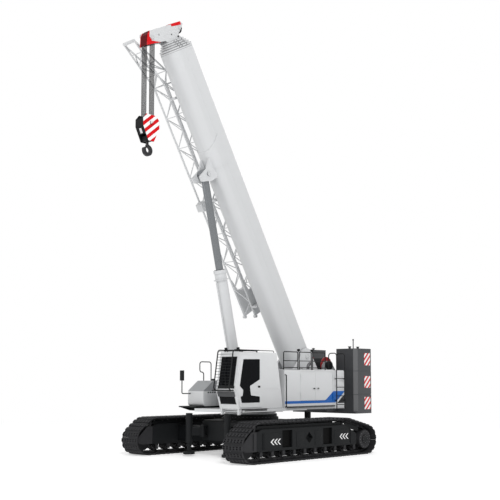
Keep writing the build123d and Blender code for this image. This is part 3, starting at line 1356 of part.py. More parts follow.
def slab_outline(hand_y, inset):
    """Plan of one counterweight slab, its outer front corner cut off, drawn in by an inset."""
    with BuildSketch() as outline:
        Polygon(
            (STACK_REAR + inset, hand_y * (TAIL_HALF_WIDTH + inset)),
            (STACK_REAR + inset, hand_y * (HALF_WIDTH - inset)),
            (STACK_FRONT - STACK_CHAMFER - inset, hand_y * (HALF_WIDTH - inset)),
            (STACK_FRONT - inset, hand_y * (HALF_WIDTH - STACK_CHAMFER - inset)),
            (STACK_FRONT - inset, hand_y * (TAIL_HALF_WIDTH + inset)),
            align=None,
        )
    return outline.sketch


stack_levels = (STACK_BOTTOM, *STACK_SEAMS, STACK_TOP)
for name, hand_y in (("counterweight_left", 1), ("counterweight_right", -1)):
    with BuildPart() as stack:
        for low, high in zip(stack_levels, stack_levels[1:]):
            neck = 0 if low == STACK_BOTTOM else SLAB_SEAM
            if neck:
                with BuildSketch(Plane.XY.offset(low)):
                    add(slab_outline(hand_y, SLAB_SEAM))
                extrude(amount=neck)
            with BuildSketch(Plane.XY.offset(low + neck)):
                add(slab_outline(hand_y, 0))
            extrude(amount=high - low - neck)
        lug_y = hand_y * (HALF_WIDTH + TAIL_HALF_WIDTH) / 2
        for x in LIFT_LUG_XS:
            with Locations((x, lug_y, STACK_TOP)):
                Cylinder(LIFT_LUG_RADIUS, LIFT_LUG_HEIGHT, align=(Align.CENTER, Align.CENTER, Align.MIN))
            with Locations((x, lug_y, STACK_TOP + LIFT_LUG_HEIGHT)):
                Cylinder(
                    1.4 * LIFT_LUG_RADIUS, LIFT_LUG_HEIGHT / 4, align=(Align.CENTER, Align.CENTER, Align.MIN)
                )
        if hand_y > 0:
            with Locations((MAST_X, lug_y, STACK_TOP)):
                Cylinder(MAST_RADIUS, MAST_HEIGHT, align=(Align.CENTER, Align.CENTER, Align.MIN))
            with Locations((MAST_X, lug_y, STACK_TOP + MAST_HEIGHT)):
                Sphere(MAST_CAP_RADIUS)
    stack.part.label = name
    export_step(stack.part, f"parts/{name}.step")


# Plate wrapped round the boom's belly where the luffing cylinder pushes
with BuildPart() as doubler:
    with BuildSketch(boom_station(DOUBLER_REAR)):
        add(box_outline(-DOUBLER))
        add(box_outline(0), mode=Mode.SUBTRACT)
    extrude(amount=DOUBLER_TIP - DOUBLER_REAR)
    with BuildSketch(boom_side(0)):
        Polygon(
            (DOUBLER_REAR, DOUBLER_TOP_V),
            (DOUBLER_TIP, DOUBLER_TOP_V),
            (DOUBLER_MOUTH, -PIN_ABOVE_AXIS - BOOM_DEPTH / 2 - DOUBLER),
            (DOUBLER_TIP, -BOOM_DEPTH),
            (DOUBLER_TIP, BOOM_DEPTH),
            (DOUBLER_REAR, BOOM_DEPTH),
            align=None,
        )
    extrude(amount=BOOM_WIDTH, both=True, mode=Mode.SUBTRACT)

# Boom sections, nested; each but the last ends in a guide ring round the next
for index in range(SECTIONS):
    inset = index * (WALL + SLIDE_SPACE)
    front = BASE_FRONT + index * COLLAR_PITCH
    rear = BASE_REAR if index == 0 else SECTION_REAR + (index - 1) * REAR_STAGGER
    name = "boom_base" if index == 0 else f"boom_section_{index + 1}"
    with BuildPart() as section:
        with BuildSketch(boom_station(rear)):
            add(box_outline(inset))
        extrude(amount=front - rear)
        if index > 0:
            with BuildSketch(boom_station(front - COLLAR_LENGTH)):
                add(box_outline(inset - WALL - SLIDE_SPACE))
            extrude(amount=COLLAR_LENGTH)
            with BuildSketch(boom_station(rear)):
                add(box_outline(inset - SLIDE_SPACE + RUNNING_GAP))
            extrude(amount=GUIDE_LENGTH)
        if index == 0:
            with BuildSketch(boom_side(0)):
                Circle(FOOT_BOSS_RADIUS)
            extrude(amount=CHEEK_INNER - RUNNING_GAP, both=True)
            with BuildSketch(boom_side(0)):
                Circle(FOOT_PIN_RADIUS + SHAFT_FIT)
            extrude(amount=CHEEK_INNER, both=True, mode=Mode.SUBTRACT)
            add(doubler.part)
            for hand_y in (-1, 1):
                plate_inner = ROD_EYE_HALF_WIDTH + RUNNING_GAP
                plane = boom_side(hand_y * (plate_inner + (0 if hand_y < 0 else BRACKET_PLATE)))
                with BuildSketch(plane):
                    Polygon(
                        (LUFF_EYE_U - BRACKET_REAR, BRACKET_ROOT_V),
                        (LUFF_EYE_U + BRACKET_FRONT, BRACKET_ROOT_V),
                        (LUFF_EYE_U + ROD_EYE_RADIUS, LUFF_EYE_V),
                        (LUFF_EYE_U + BRACKET_PLATE, LUFF_EYE_V - BRACKET_TAIL),
                        (LUFF_EYE_U - 2 * BRACKET_PLATE, LUFF_EYE_V - BRACKET_TAIL),
                        (LUFF_EYE_U - BRACKET_REAR, LUFF_EYE_V),
                        align=None,
                    )
                    with Locations((LUFF_EYE_U, LUFF_EYE_V)):
                        Circle(ROD_EYE_RADIUS)
                        Circle(ROD_PIN_RADIUS + SHAFT_FIT, mode=Mode.SUBTRACT)
                extrude(amount=BRACKET_PLATE)
        cavity_rear = BASE_CAVITY if index == 0 else rear
        cavity_front = front if index == SECTIONS - 1 else front - GUIDE_LENGTH
        with BuildSketch(boom_station(cavity_rear)):
            add(box_outline(inset + WALL))
        extrude(amount=cavity_front - cavity_rear, mode=Mode.SUBTRACT)
        if index < SECTIONS - 1:
            with BuildSketch(boom_station(cavity_front)):
                add(box_outline(inset + WALL + SLIDE_SPACE - RUNNING_GAP))
            extrude(amount=GUIDE_LENGTH, mode=Mode.SUBTRACT)
    section.part.label = name
    export_step(section.part, f"parts/{name}.step")


# Luffing cylinder: the rod turns on the boom, the barrel slides on the rod
with BuildPart() as luff_rod:
    with BuildSketch(luff_plane):
        with Locations((luff_length, 0)):
            Circle(ROD_EYE_RADIUS)
    extrude(amount=ROD_EYE_HALF_WIDTH, both=True)
    with BuildSketch(Plane(origin=luff_foot + luff_way * (BARREL_LENGTH - ROD_IN_BARREL), z_dir=luff_way)):
        Circle(ROD_RADIUS)
    extrude(amount=luff_length - BARREL_LENGTH + ROD_IN_BARREL)
    with BuildSketch(Plane(origin=luff_foot + luff_way * (BARREL_LENGTH - ROD_IN_BARREL), z_dir=luff_way)):
        Circle(BARREL_BORE - SHAFT_FIT)
    extrude(amount=PISTON_LENGTH)
    with BuildSketch(luff_plane):
        with Locations((luff_length, 0)):
            Circle(ROD_PIN_RADIUS)
    extrude(amount=ROD_EYE_HALF_WIDTH + RUNNING_GAP + BRACKET_PLATE + PIN_PROUD, both=True)
luff_rod.part.label = "luff_rod"
export_step(luff_rod.part, "parts/luff_rod.step")

with BuildPart() as luff_barrel:
    with BuildSketch(Plane(origin=luff_foot, z_dir=luff_way)):
        Circle(BARREL_RADIUS)
    extrude(amount=BARREL_LENGTH)
    with BuildSketch(luff_plane):
        Circle(FOOT_EYE_RADIUS)
    extrude(amount=LUG_INNER - RUNNING_GAP, both=True)
    with BuildSketch(Plane(origin=luff_foot + luff_way * (BARREL_LENGTH - BARREL_COLLAR_LENGTH), z_dir=luff_way)):
        Circle(BARREL_RADIUS + BARREL_COLLAR)
    extrude(amount=BARREL_COLLAR_LENGTH)
    pipe_off = luff_plane.y_dir * -(BARREL_RADIUS + 2 * BARREL_PIPE_RADIUS)
    with BuildSketch(Plane(origin=luff_foot + pipe_off + luff_way * BARREL_PIPE[0], z_dir=luff_way)):
        Circle(BARREL_PIPE_RADIUS)
    extrude(amount=BARREL_PIPE[1] - BARREL_PIPE[0])
    for station in BARREL_PIPE:
        with BuildSketch(Plane(origin=luff_foot + luff_way * station, z_dir=luff_way)):
            Circle(BARREL_RADIUS + 4 * BARREL_PIPE_RADIUS)
        extrude(amount=2 * BARREL_PIPE_RADIUS)
    with BuildSketch(Plane(origin=luff_foot + luff_way * BARREL_FLOOR, z_dir=luff_way)):
        Circle(BARREL_BORE)
    extrude(amount=BARREL_LENGTH - BARREL_FLOOR - GLAND_LENGTH, mode=Mode.SUBTRACT)
    with BuildSketch(Plane(origin=luff_foot + luff_way * (BARREL_LENGTH - GLAND_LENGTH), z_dir=luff_way)):
        Circle(ROD_RADIUS + SHAFT_FIT)
    extrude(amount=GLAND_LENGTH, mode=Mode.SUBTRACT)
luff_barrel.part.label = "luff_barrel"
export_step(luff_barrel.part, "parts/luff_barrel.step")


# Boom head
head_rear = BASE_FRONT + (SECTIONS - 1) * COLLAR_PITCH
with BuildPart() as boom_head:
    for hand_y in (-1, 1):
        plane = boom_side(hand_y * HEAD_HALF_WIDTH + (0 if hand_y < 0 else HEAD_PLATE))
        with BuildSketch(plane):
            Polygon(
                (head_rear, HEAD_NECK_LOW_V),
                *[(HEAD_PIN_U + u, HEAD_PIN_V + v) for u, v in HEAD_OUTLINE],
                (head_rear, HEAD_NECK_HIGH_V),
                align=None,
            )
            with Locations(*JIB_PIN_HOLES):
                Circle(JIB_PIN_RADIUS, mode=Mode.SUBTRACT)
        extrude(amount=HEAD_PLATE)
    with BuildSketch(boom_station(head_rear)):
        add(box_outline((SECTIONS - 1) * (WALL + SLIDE_SPACE)))
    extrude(amount=HEAD_PLATE)
    for u, v in ((HEAD_PIN_U, HEAD_PIN_V), (CROWN_SHEAVE_U, CROWN_SHEAVE_V)):
        with BuildSketch(boom_side(0)):
            with Locations((u, v)):
                Circle(SHEAVE_PIN_RADIUS)
        extrude(amount=HEAD_HALF_WIDTH + HEAD_PLATE + PIN_PROUD, both=True)
boom_head.part.label = "boom_head"
export_step(boom_head.part, "parts/boom_head.step")

head_outer_y = HEAD_HALF_WIDTH + HEAD_PLATE
with BuildPart() as head_guards:
    for hand_y in (-1, 1):
        plane = boom_side(hand_y * head_outer_y + (0 if hand_y < 0 else SWOOSH_PLATE))
        with BuildSketch(plane):
            Polygon(*[(HEAD_PIN_U + u, HEAD_PIN_V + v) for u, v in SWOOSH_OUTLINE], align=None)
        extrude(amount=SWOOSH_PLATE)
    strip_ends = []
    for v in CROWN_STRIP_V:
        (low_u, low_v), (high_u, high_v) = HEAD_OUTLINE[6:8]
        edge_u = low_u + (high_u - low_u) * (v - low_v) / (high_v - low_v)
        strip_ends.append((HEAD_PIN_U + edge_u, HEAD_PIN_V + v))
    with BuildSketch(boom_side(0)):
        Polygon(
            *strip_ends,
            (strip_ends[1][0] + CROWN_STRIP, strip_ends[1][1]),
            (strip_ends[0][0] + CROWN_STRIP, strip_ends[0][1]),
            align=None,
        )
    extrude(amount=head_outer_y, both=True)
head_guards.part.label = "head_guards"
export_step(head_guards.part, "parts/head_guards.step")

with BuildPart() as head_sheaves:
    for u, v in ((HEAD_PIN_U, HEAD_PIN_V), (CROWN_SHEAVE_U, CROWN_SHEAVE_V)):
        for i in range(SHEAVES):
            y = (i - (SHEAVES - 1) / 2) * SHEAVE_PITCH
            with BuildSketch(boom_side(y)):
                with Locations((u, v)):
                    Circle(SHEAVE_RADIUS)
                    Circle(SHEAVE_PIN_RADIUS + SHAFT_FIT, mode=Mode.SUBTRACT)
            extrude(amount=SHEAVE_THICKNESS / 2, both=True)
head_sheaves.part.label = "head_sheaves"
export_step(head_sheaves.part, "parts/head_sheaves.step")


# Hoist rope falls, hook block and hook
fall_reach = SHEAVE_RADIUS + ROPE_RADIUS + RUNNING_GAP
with BuildPart() as hoist_falls:
    with BuildSketch(Plane.XY.offset(block_pin_z)):
        for i in range(SHEAVES):
            y = (i - (SHEAVES - 1) / 2) * SHEAVE_PITCH
            with Locations((head_pin.X - fall_reach, y), (head_pin.X + fall_reach, y)):
                Circle(ROPE_RADIUS)
    extrude(amount=FALL_LENGTH)
hoist_falls.part.label = "hoist_falls"
export_step(hoist_falls.part, "parts/hoist_falls.step")

with BuildPart() as rope_guard:
    guard_front = head_pin.X + ROPE_GUARD_X
    guard_top = (head_pin.X + ROPE_GUARD_TOP[0], head_pin.Z + ROPE_GUARD_TOP[1])
    for hand_y in (-1, 1):
        plane, thickness = span(hand_y * ROPE_GUARD_ARM[0], hand_y * ROPE_GUARD_ARM[1])
        with BuildSketch(plane):
            with Locations((head_pin.X, head_pin.Z)):
                Circle(ROPE_GUARD_BOSS)
            Polygon(
                (head_pin.X, head_pin.Z - ROPE_GUARD_BOSS),
                (guard_front, head_pin.Z + ROPE_GUARD_LOW),
                (guard_front, head_pin.Z + ROPE_GUARD_BEND),
                guard_top,
                (head_pin.X, head_pin.Z + ROPE_GUARD_BOSS),
                align=None,
            )
            with Locations((head_pin.X, head_pin.Z)):
                Circle(SHEAVE_PIN_RADIUS + SHAFT_FIT, mode=Mode.SUBTRACT)
        extrude(amount=thickness)
    with BuildSketch(side()):
        Polygon(
            (guard_front, head_pin.Z + ROPE_GUARD_LOW),
            (guard_front + ROPE_GUARD_PLATE, head_pin.Z + ROPE_GUARD_LOW),
            (guard_front + ROPE_GUARD_PLATE, head_pin.Z + ROPE_GUARD_BEND),
            (guard_front, head_pin.Z + ROPE_GUARD_BEND),
            align=None,
        )
    extrude(amount=ROPE_GUARD_ARM[1], both=True)
    plane, thickness = span(ROPE_GUARD_SLOT_Y, ROPE_GUARD_ARM[1])
    with BuildSketch(plane):
        Polygon(
            (guard_front, head_pin.Z + ROPE_GUARD_BEND),
            (guard_front + ROPE_GUARD_PLATE, head_pin.Z + ROPE_GUARD_BEND),
            (guard_top[0] + ROPE_GUARD_PLATE, guard_top[1]),
            guard_top,
            align=None,
        )
    extrude(amount=thickness)
rope_guard.part.label = "rope_guard"
export_step(rope_guard.part, "parts/rope_guard.step")

with BuildPart() as hook_block:
    for hand_y in (-1, 1):
        plane, thickness = span(hand_y * BLOCK_CHEEK_INNER, hand_y * (BLOCK_CHEEK_INNER + BLOCK_CHEEK))
        with BuildSketch(plane):
            Polygon(
                *[
                    (head_pin.X + x, block_pin_z + z)
                    for x, z in (BLOCK_TOP, BLOCK_SHOULDER, BLOCK_WAIST, BLOCK_FOOT)
                ],
                *[
                    (head_pin.X - x, block_pin_z + z)
                    for x, z in (BLOCK_FOOT, BLOCK_WAIST, BLOCK_SHOULDER, BLOCK_TOP)
                ],
                align=None,
            )
        extrude(amount=thickness)
    for hand_x in (-1, 1):
        with BuildSketch(side()):
            Polygon(
                (head_pin.X + hand_x * BLOCK_SHOULDER[0], block_pin_z + BLOCK_SHOULDER[1]),
                (head_pin.X + hand_x * BLOCK_WAIST[0], block_pin_z + BLOCK_WAIST[1]),
                (head_pin.X + hand_x * BLOCK_COVER_LOW[0], block_pin_z + BLOCK_COVER_LOW[1]),
                (head_pin.X + hand_x * (BLOCK_COVER_LOW[0] - BLOCK_COVER), block_pin_z + BLOCK_COVER_LOW[1]),
                (head_pin.X + hand_x * (BLOCK_WAIST[0] - BLOCK_COVER), block_pin_z + BLOCK_WAIST[1]),
                (head_pin.X + hand_x * (BLOCK_SHOULDER[0] - BLOCK_COVER), block_pin_z + BLOCK_SHOULDER[1]),
                align=None,
            )
        extrude(amount=BLOCK_CHEEK_INNER, both=True)
    with BuildSketch(side()):
        with Locations((head_pin.X, block_pin_z)):
            Circle(SHEAVE_PIN_RADIUS)
    extrude(amount=BLOCK_CHEEK_INNER + BLOCK_CHEEK + PIN_PROUD, both=True)
    with Locations((head_pin.X, 0, block_pin_z - BLOCK_BELOW_PIN)):
        Box(
            CROSSHEAD,
            2 * BLOCK_CHEEK_INNER,
            CROSSHEAD_HEIGHT,
            align=(Align.CENTER, Align.CENTER, Align.MIN),
        )
    with BuildSketch(Plane.XY.offset(block_pin_z - BLOCK_BELOW_PIN)):
        with Locations((head_pin.X, 0)):
            Circle(SHANK_RADIUS + SHAFT_FIT)
    extrude(amount=CROSSHEAD_HEIGHT, mode=Mode.SUBTRACT)
hook_block.part.label = "hook_block"
export_step(hook_block.part, "parts/hook_block.step")

with BuildPart() as block_sheaves:
    for i in range(SHEAVES):
        y = (i - (SHEAVES - 1) / 2) * SHEAVE_PITCH
        with BuildSketch(side(y)):
            with Locations((head_pin.X, block_pin_z)):
                Circle(SHEAVE_RADIUS)
                Circle(SHEAVE_PIN_RADIUS + SHAFT_FIT, mode=Mode.SUBTRACT)
        extrude(amount=SHEAVE_THICKNESS / 2, both=True)
block_sheaves.part.label = "block_sheaves"
export_step(block_sheaves.part, "parts/block_sheaves.step")

hook_z = block_pin_z - HOOK_DROP + HOOK_OUTER + HOOK_SAG
hook_arm = (HOOK_OUTER - HOOK_INNER) / 2
with BuildPart() as hook:
    with BuildSketch(side()):
        with Locations((head_pin.X, hook_z - HOOK_SAG)):
            Circle(HOOK_OUTER)
        with Locations((head_pin.X, hook_z)):
            Circle(HOOK_INNER, mode=Mode.SUBTRACT)
        with Locations((head_pin.X + SHANK_RADIUS, hook_z + HOOK_TIP_RISE)):
            Rectangle(
                HOOK_OUTER, HOOK_OUTER, align=(Align.MIN, Align.MIN), mode=Mode.SUBTRACT
            )
        with Locations((head_pin.X + HOOK_INNER + hook_arm, hook_z + HOOK_TIP_RISE)):
            Circle(hook_arm)
        with Locations((head_pin.X, hook_z + HOOK_INNER)):
            Rectangle(
                2 * SHANK_RADIUS,
                HOOK_OUTER - HOOK_INNER,
                align=(Align.CENTER, Align.MIN),
            )
    extrude(amount=HOOK_THICKNESS / 2, both=True)
    shank_top = block_pin_z - BLOCK_BELOW_PIN + CROSSHEAD_HEIGHT + RUNNING_GAP
    with BuildSketch(Plane.XY.offset(hook_z + HOOK_OUTER - SHANK_RADIUS)):
        with Locations((head_pin.X, 0)):
            Circle(SHANK_RADIUS)
    extrude(amount=shank_top - hook_z - HOOK_OUTER + SHANK_RADIUS)
    with BuildSketch(Plane.XY.offset(shank_top)):
        with Locations((head_pin.X, 0)):
            Circle(1.5 * SHANK_RADIUS)
    extrude(amount=SHANK_RADIUS)
hook.part.label = "hook"
export_step(hook.part, "parts/hook.step")


# Fly jib stowed on the boom's right: four chords, laced on every side
jib_chords = (
    (JIB_OUTER_Y, JIB_LOW_V),
    (JIB_OUTER_Y, JIB_HIGH_V),
    (JIB_INNER_Y, JIB_LOW_V),
    (JIB_INNER_Y, JIB_HIGH_V),
)
jib_bays = round((JIB_STRAIGHT_END_U - JIB_START_U) / JIB_BAY)
bay = (JIB_STRAIGHT_END_U - JIB_START_U) / jib_bays


def lacing(low, high):
    """Zigzag of flat bars between two chords of one face, drawn over the straight part."""
    with BuildSketch() as lace:
        for i in range(jib_bays):
            start_u = JIB_START_U + i * bay
            ends = (low, high) if i % 2 == 0 else (high, low)
            add(bar((start_u, ends[0]), (start_u + bay, ends[1]), JIB_LACE))
    return lace.sketch


with BuildPart() as jib_lattice:
    for y, v in jib_chords:
        with BuildSketch(boom_side(y)):
            with Locations(((JIB_START_U + JIB_STRAIGHT_END_U) / 2, v)):
                Rectangle(JIB_STRAIGHT_END_U - JIB_START_U, JIB_TUBE)
        extrude(amount=JIB_TUBE / 2, both=True)
    for y in (JIB_OUTER_Y, JIB_INNER_Y):
        with BuildSketch(boom_side(y)):
            add(lacing(JIB_LOW_V, JIB_HIGH_V))
            Polygon(
                (JIB_START_U, JIB_LOW_V),
                (JIB_WEB_FRONT_U, JIB_LOW_V),
                ((JIB_START_U + JIB_WEB_FRONT_U) / 2, JIB_LOW_V + JIB_WEB_WAIST),
                ((JIB_START_U + JIB_WEB_FRONT_U) / 2, JIB_HIGH_V - JIB_WEB_WAIST),
                (JIB_WEB_FRONT_U, JIB_HIGH_V),
                (JIB_START_U, JIB_HIGH_V),
                align=None,
            )
        extrude(amount=JIB_LACE / 2, both=True)
    for y in (JIB_OUTER_Y, JIB_INNER_Y):
        with BuildSketch(boom_side(y)):
            for v in (JIB_LOW_V, JIB_HIGH_V):
                add(bar((JIB_STRAIGHT_END_U, v), (JIB_TIP_U, JIB_TIP_V), JIB_TUBE))
        extrude(amount=JIB_TUBE / 2, both=True)
    with BuildSketch(boom_side(JIB_INNER_Y)):
        with Locations((JIB_TIP_U, JIB_TIP_V)):
            Circle(JIB_TUBE)
    extrude(amount=JIB_INNER_Y - JIB_OUTER_Y)
    for v in (JIB_LOW_V, JIB_HIGH_V):
        with BuildSketch(Plane(origin=boom_point(0, v), x_dir=along, z_dir=across)):
            add(lacing(JIB_OUTER_Y, JIB_INNER_Y))
        extrude(amount=JIB_LACE / 2, both=True)
jib_lattice.part.label = "jib_lattice"
export_step(jib_lattice.part, "parts/jib_lattice.step")

with BuildPart() as jib_brackets:
    for u in JIB_BRACKET_US:
        with BuildSketch(boom_side(-BOOM_WIDTH / 2)):
            with Locations((u, (JIB_LOW_V + JIB_HIGH_V) / 2)):
                Rectangle(JIB_TUBE, JIB_HIGH_V - JIB_LOW_V + JIB_TUBE)
        extrude(amount=-JIB_INNER_Y - BOOM_WIDTH / 2 - JIB_TUBE / 2)
    with BuildSketch(boom_side(JIB_REST_INNER_Y)):
        Polygon(
            (JIB_REST_U[0], JIB_LOW_V - JIB_TUBE / 2),
            (JIB_REST_U[1], JIB_LOW_V - JIB_TUBE / 2),
            (JIB_REST_U[1] - JIB_TUBE, JIB_REST_V),
            (JIB_REST_U[0] + JIB_TUBE, JIB_REST_V),
            align=None,
        )
    extrude(amount=JIB_REST_INNER_Y - JIB_OUTER_Y)
jib_brackets.part.label = "jib_brackets"
export_step(jib_brackets.part, "parts/jib_brackets.step")
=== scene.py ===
# %% [markdown]
# # A crawler crane, dressed for its picture
# The machine arrives as plain solids in one fixed frame: X forward, Y left, Z up, in metres. This
# lesson sets up the camera, writes each paint and metal as a procedural material, models the small
# things that make a crane look built (shoes, bolts, rope, plates, lamps, louvres), and lights it.
# %% Load the frame
import bpy
import bmesh
from math import atan2, cos, pi, radians, sin
from mathutils import Matrix, Vector


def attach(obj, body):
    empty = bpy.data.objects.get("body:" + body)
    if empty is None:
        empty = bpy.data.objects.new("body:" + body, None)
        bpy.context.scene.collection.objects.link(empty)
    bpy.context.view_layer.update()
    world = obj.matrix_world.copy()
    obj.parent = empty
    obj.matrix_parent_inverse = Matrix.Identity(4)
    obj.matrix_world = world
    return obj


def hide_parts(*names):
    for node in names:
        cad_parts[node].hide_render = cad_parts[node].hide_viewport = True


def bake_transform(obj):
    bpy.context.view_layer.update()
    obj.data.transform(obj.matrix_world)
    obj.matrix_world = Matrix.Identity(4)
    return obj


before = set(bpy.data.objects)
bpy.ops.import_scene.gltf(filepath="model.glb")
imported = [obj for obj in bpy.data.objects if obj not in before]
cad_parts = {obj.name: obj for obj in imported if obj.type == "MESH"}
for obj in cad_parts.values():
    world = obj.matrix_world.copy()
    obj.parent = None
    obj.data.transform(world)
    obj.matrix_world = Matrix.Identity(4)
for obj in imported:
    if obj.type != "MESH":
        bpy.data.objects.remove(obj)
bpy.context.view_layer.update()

# %% [markdown]
# ## Camera
# A long lens stood about thirty metres away, low, in front and to the left of the crane. The whole
# boom has to fit, so the lens looks up a little and is shifted a little, which keeps uprights
# nearly upright. The place below came from fitting the tracks' corners.
# %% Camera
CAMERA_PLACE = (21.6313, 20.9859, 2.4812)
CAMERA_YAW = radians(224.1667)
CAMERA_PITCH = radians(5.1214)
FOCAL_LENGTH = 63.999
SENSOR_WIDTH = 36.0
lens = bpy.data.cameras.new("camera")
lens.lens = FOCAL_LENGTH
lens.sensor_width = SENSOR_WIDTH
lens.shift_y = 0.1
lens.clip_start = 1.0
lens.clip_end = 400.0
camera = bpy.data.objects.new("camera", lens)
bpy.context.scene.collection.objects.link(camera)
camera.location = CAMERA_PLACE
look = Vector((
    cos(CAMERA_PITCH) * cos(CAMERA_YAW), cos(CAMERA_PITCH) * sin(CAMERA_YAW), sin(CAMERA_PITCH),
))
camera.rotation_mode = "QUATERNION"
camera.rotation_quaternion = look.to_track_quat("-Z", "Y")
bpy.context.scene.camera = camera

# %% [markdown]
# ## Shader maths
# Writing nodes one by one hides the thought behind a material. Here a small class wraps a socket,
# so `drift * 0.25` or `x - 2` adds its own Math node, and `Finish.node` makes any other node.
# %% Shader helpers
def maths(operation):
    """A method that feeds a wire, and what it is combined with, into one Math node."""
    def method(wire, *others):
        terms = dict(enumerate((wire, *others)))
        return wire.finish.node("ShaderNodeMath", {"operation": operation}, terms)
    return method


class Wire:
    """A number that varies over the surface: wraps an output socket."""

    def __init__(self, finish, socket):
        self.finish = finish
        self.socket = socket

    __add__ = __radd__ = maths("ADD")
    __sub__ = maths("SUBTRACT")
    __mul__ = maths("MULTIPLY")
    __truediv__ = maths("DIVIDE")
    __gt__ = maths("GREATER_THAN")
    __lt__ = maths("LESS_THAN")
    size = maths("ABSOLUTE")
    root = maths("SQRT")
    wave = maths("SINE")
    part = maths("FRACT")

    def clamp(self):
        return self.finish.node("ShaderNodeClamp", {}, {"Value": self})


def between(wire, low, high):
    """1 where the wire lies between two numbers, else 0."""
    return (wire > low) * (wire < high)


class Finish:
    """A procedural material with one Principled shader."""

    def __init__(self, name, **constants):
        self.material = bpy.data.materials.new(name)
        self.material.use_nodes = True
        self.tree = self.material.node_tree
        self.shader = self.tree.nodes["Principled BSDF"]
        for socket, value in constants.items():
            self.shader.inputs[socket.replace("_", " ")].default_value = value
        self.place = self.node("ShaderNodeTexCoord", {}, {}, "Object")
        self.x, self.y, self.z = (
            self.node("ShaderNodeSeparateXYZ", {}, {0: self.place}, axis) for axis in "XYZ"
        )

    def node(self, kind, settings, inputs, output=0):
        made = self.tree.nodes.new(kind)
        for key, value in settings.items():
            setattr(made, key, value)
        for key, value in inputs.items():
            if isinstance(value, Wire):
                self.tree.links.new(value.socket, made.inputs[key])
            else:
                made.inputs[key].default_value = value
        return Wire(self, made.outputs[output])

    def noise(self, scale, detail=3.0, stretch=None):
        """Cloudy noise about 0.5, optionally stretched along an axis."""
        where = self.place
        if stretch:
            where = self.node("ShaderNodeMapping", {}, {"Vector": where, "Scale": stretch})
        inputs = {"Vector": where, "Scale": scale, "Detail": detail}
        return self.node("ShaderNodeTexNoise", {}, inputs)

    def mix(self, share, first, second):
        """Blends two colours; each is a wire or an RGB triple."""
        pair = [c if isinstance(c, Wire) else (*c, 1.0) for c in (first, second)]
        inputs = {0: share, 6: pair[0], 7: pair[1]}
        return self.node("ShaderNodeMix", {"data_type": "RGBA"}, inputs, 2)

    def facing(self, axis):
        """How far the surface's normal points along an axis, from -1 to 1."""
        normal = self.node("ShaderNodeTexCoord", {}, {}, "Normal")
        return self.node("ShaderNodeSeparateXYZ", {}, {0: normal}, axis)

    def bump(self, height, strength, distance):
        inputs = {"Height": height, "Strength": strength, "Distance": distance}
        self.give("Normal", self.node("ShaderNodeBump", {}, inputs))

    def give(self, socket, wire):
        self.tree.links.new(wire.socket, self.shader.inputs[socket])

    def colour(self, wire):
        self.give("Base Color", wire)

    def overpaint(self, share, second):
        """Lays a second colour over the first, where the share is 1."""
        first = Wire(self, self.shader.inputs["Base Color"].links[0].from_socket)
        self.colour(self.mix(share, first, second))


# %% [markdown]
# ## Paints
# A new crane wears two-pack paint: satin, clean, with a faint orange peel that only shows in its
# reflections. A little dust settles where panels face upward, and roughness drifts slowly.
# %% Paint recipe
DUST = (0.42, 0.40, 0.37)


def paint(name, colour, roughness=0.38, dust=0.05, coat=0.12, shine=0.5):
    """Satin machine paint: orange peel, slow roughness drift, faint dust on upward faces."""
    made = Finish(name, Coat_Weight=coat, Coat_Roughness=0.15, IOR=1.5, Specular_IOR_Level=shine)
    drift = made.noise(0.8, 4.0)
    peel = made.noise(180.0, 2.0)
    settled = (made.facing("Z").clamp() * drift * dust).clamp()
    faded = made.mix(drift * 0.25, colour, [channel * 0.94 for channel in colour])
    made.colour(made.mix(settled, faded, DUST))
    made.give("Roughness", roughness + (drift - 0.5) * 0.12 + settled * 0.4)
    made.bump(peel, 0.05, 0.0008)
    return made


WHITE = (0.68, 0.69, 0.70)
BOOM_GREY = (0.60, 0.61, 0.62)
SHADE_GREY = (0.30, 0.31, 0.32)
DARK_GREY = (0.038, 0.040, 0.044)
BLACK = (0.010, 0.011, 0.012)
RED = (0.62, 0.006, 0.010)
BLUE = (0.002, 0.115, 0.46)
MARK_WHITE = (0.85, 0.85, 0.85)

cab_white = paint("cab_white", WHITE).material
boom_grey = paint("boom_grey", BOOM_GREY, roughness=0.33, coat=0.3).material
jib_grey = paint("jib_grey", (0.62, 0.63, 0.64), roughness=0.45).material
frame_black = paint("frame_black", BLACK, roughness=0.5, coat=0.0, shine=0.15).material
stack_grey = paint("stack_grey", DARK_GREY, roughness=0.55, dust=0.15).material
# A lighter grey for the counterweight's chamfered corners: a painted highlight.
chamfer_highlight_grey = paint("chamfer_highlight_grey", (0.105, 0.107, 0.112), roughness=0.5, dust=0.15).material
signal_red = paint("signal_red", RED, roughness=0.4, coat=0.0, shine=0.15).material
# The rope guard's red is darkened: painted shade, because its front face lies in shadow.
shaded_guard_red = paint("shaded_guard_red", (0.10, 0.003, 0.005), roughness=0.5, coat=0.0, shine=0.1).material
drum_red = paint("drum_red", (0.30, 0.012, 0.015), roughness=0.45).material

# %% [markdown]
# Each boom section ends in a guide collar, and dark lines show where one collar stops and the
# next begins. The distance along the boom comes from two coordinates, so a line is square to it.
# %% Boom paint with collar lines
BOOM_ANGLE = radians(59.8)
FOOT_PIN = Vector((-2.34, 0.0, 3.30))
BOOM_BODIES = ("boom_base", "boom_section_2", "boom_section_3", "boom_section_4", "boom_section_5")
COLLAR_FRONT = 11.32
COLLAR_PITCH = 0.07
LINE_GREY = (0.09, 0.09, 0.095)
LINE_SHARE = 0.5
collar_paints = []
for index in range(len(BOOM_BODIES)):
    collar = paint(f"collar_grey_{index + 1}", BOOM_GREY, roughness=0.33, coat=0.3)
    ahead = collar.x - FOOT_PIN.x
    above = collar.z - FOOT_PIN.z
    along = ahead * cos(BOOM_ANGLE) + above * sin(BOOM_ANGLE)
    front = COLLAR_FRONT + index * COLLAR_PITCH
    at_front = between(along, front - 0.016, front + 0.002)
    at_back = between(along, front - 0.068, front - 0.052)
    collar.overpaint((at_front + at_back).clamp() * LINE_SHARE, LINE_GREY)
    collar_paints.append(collar.material)

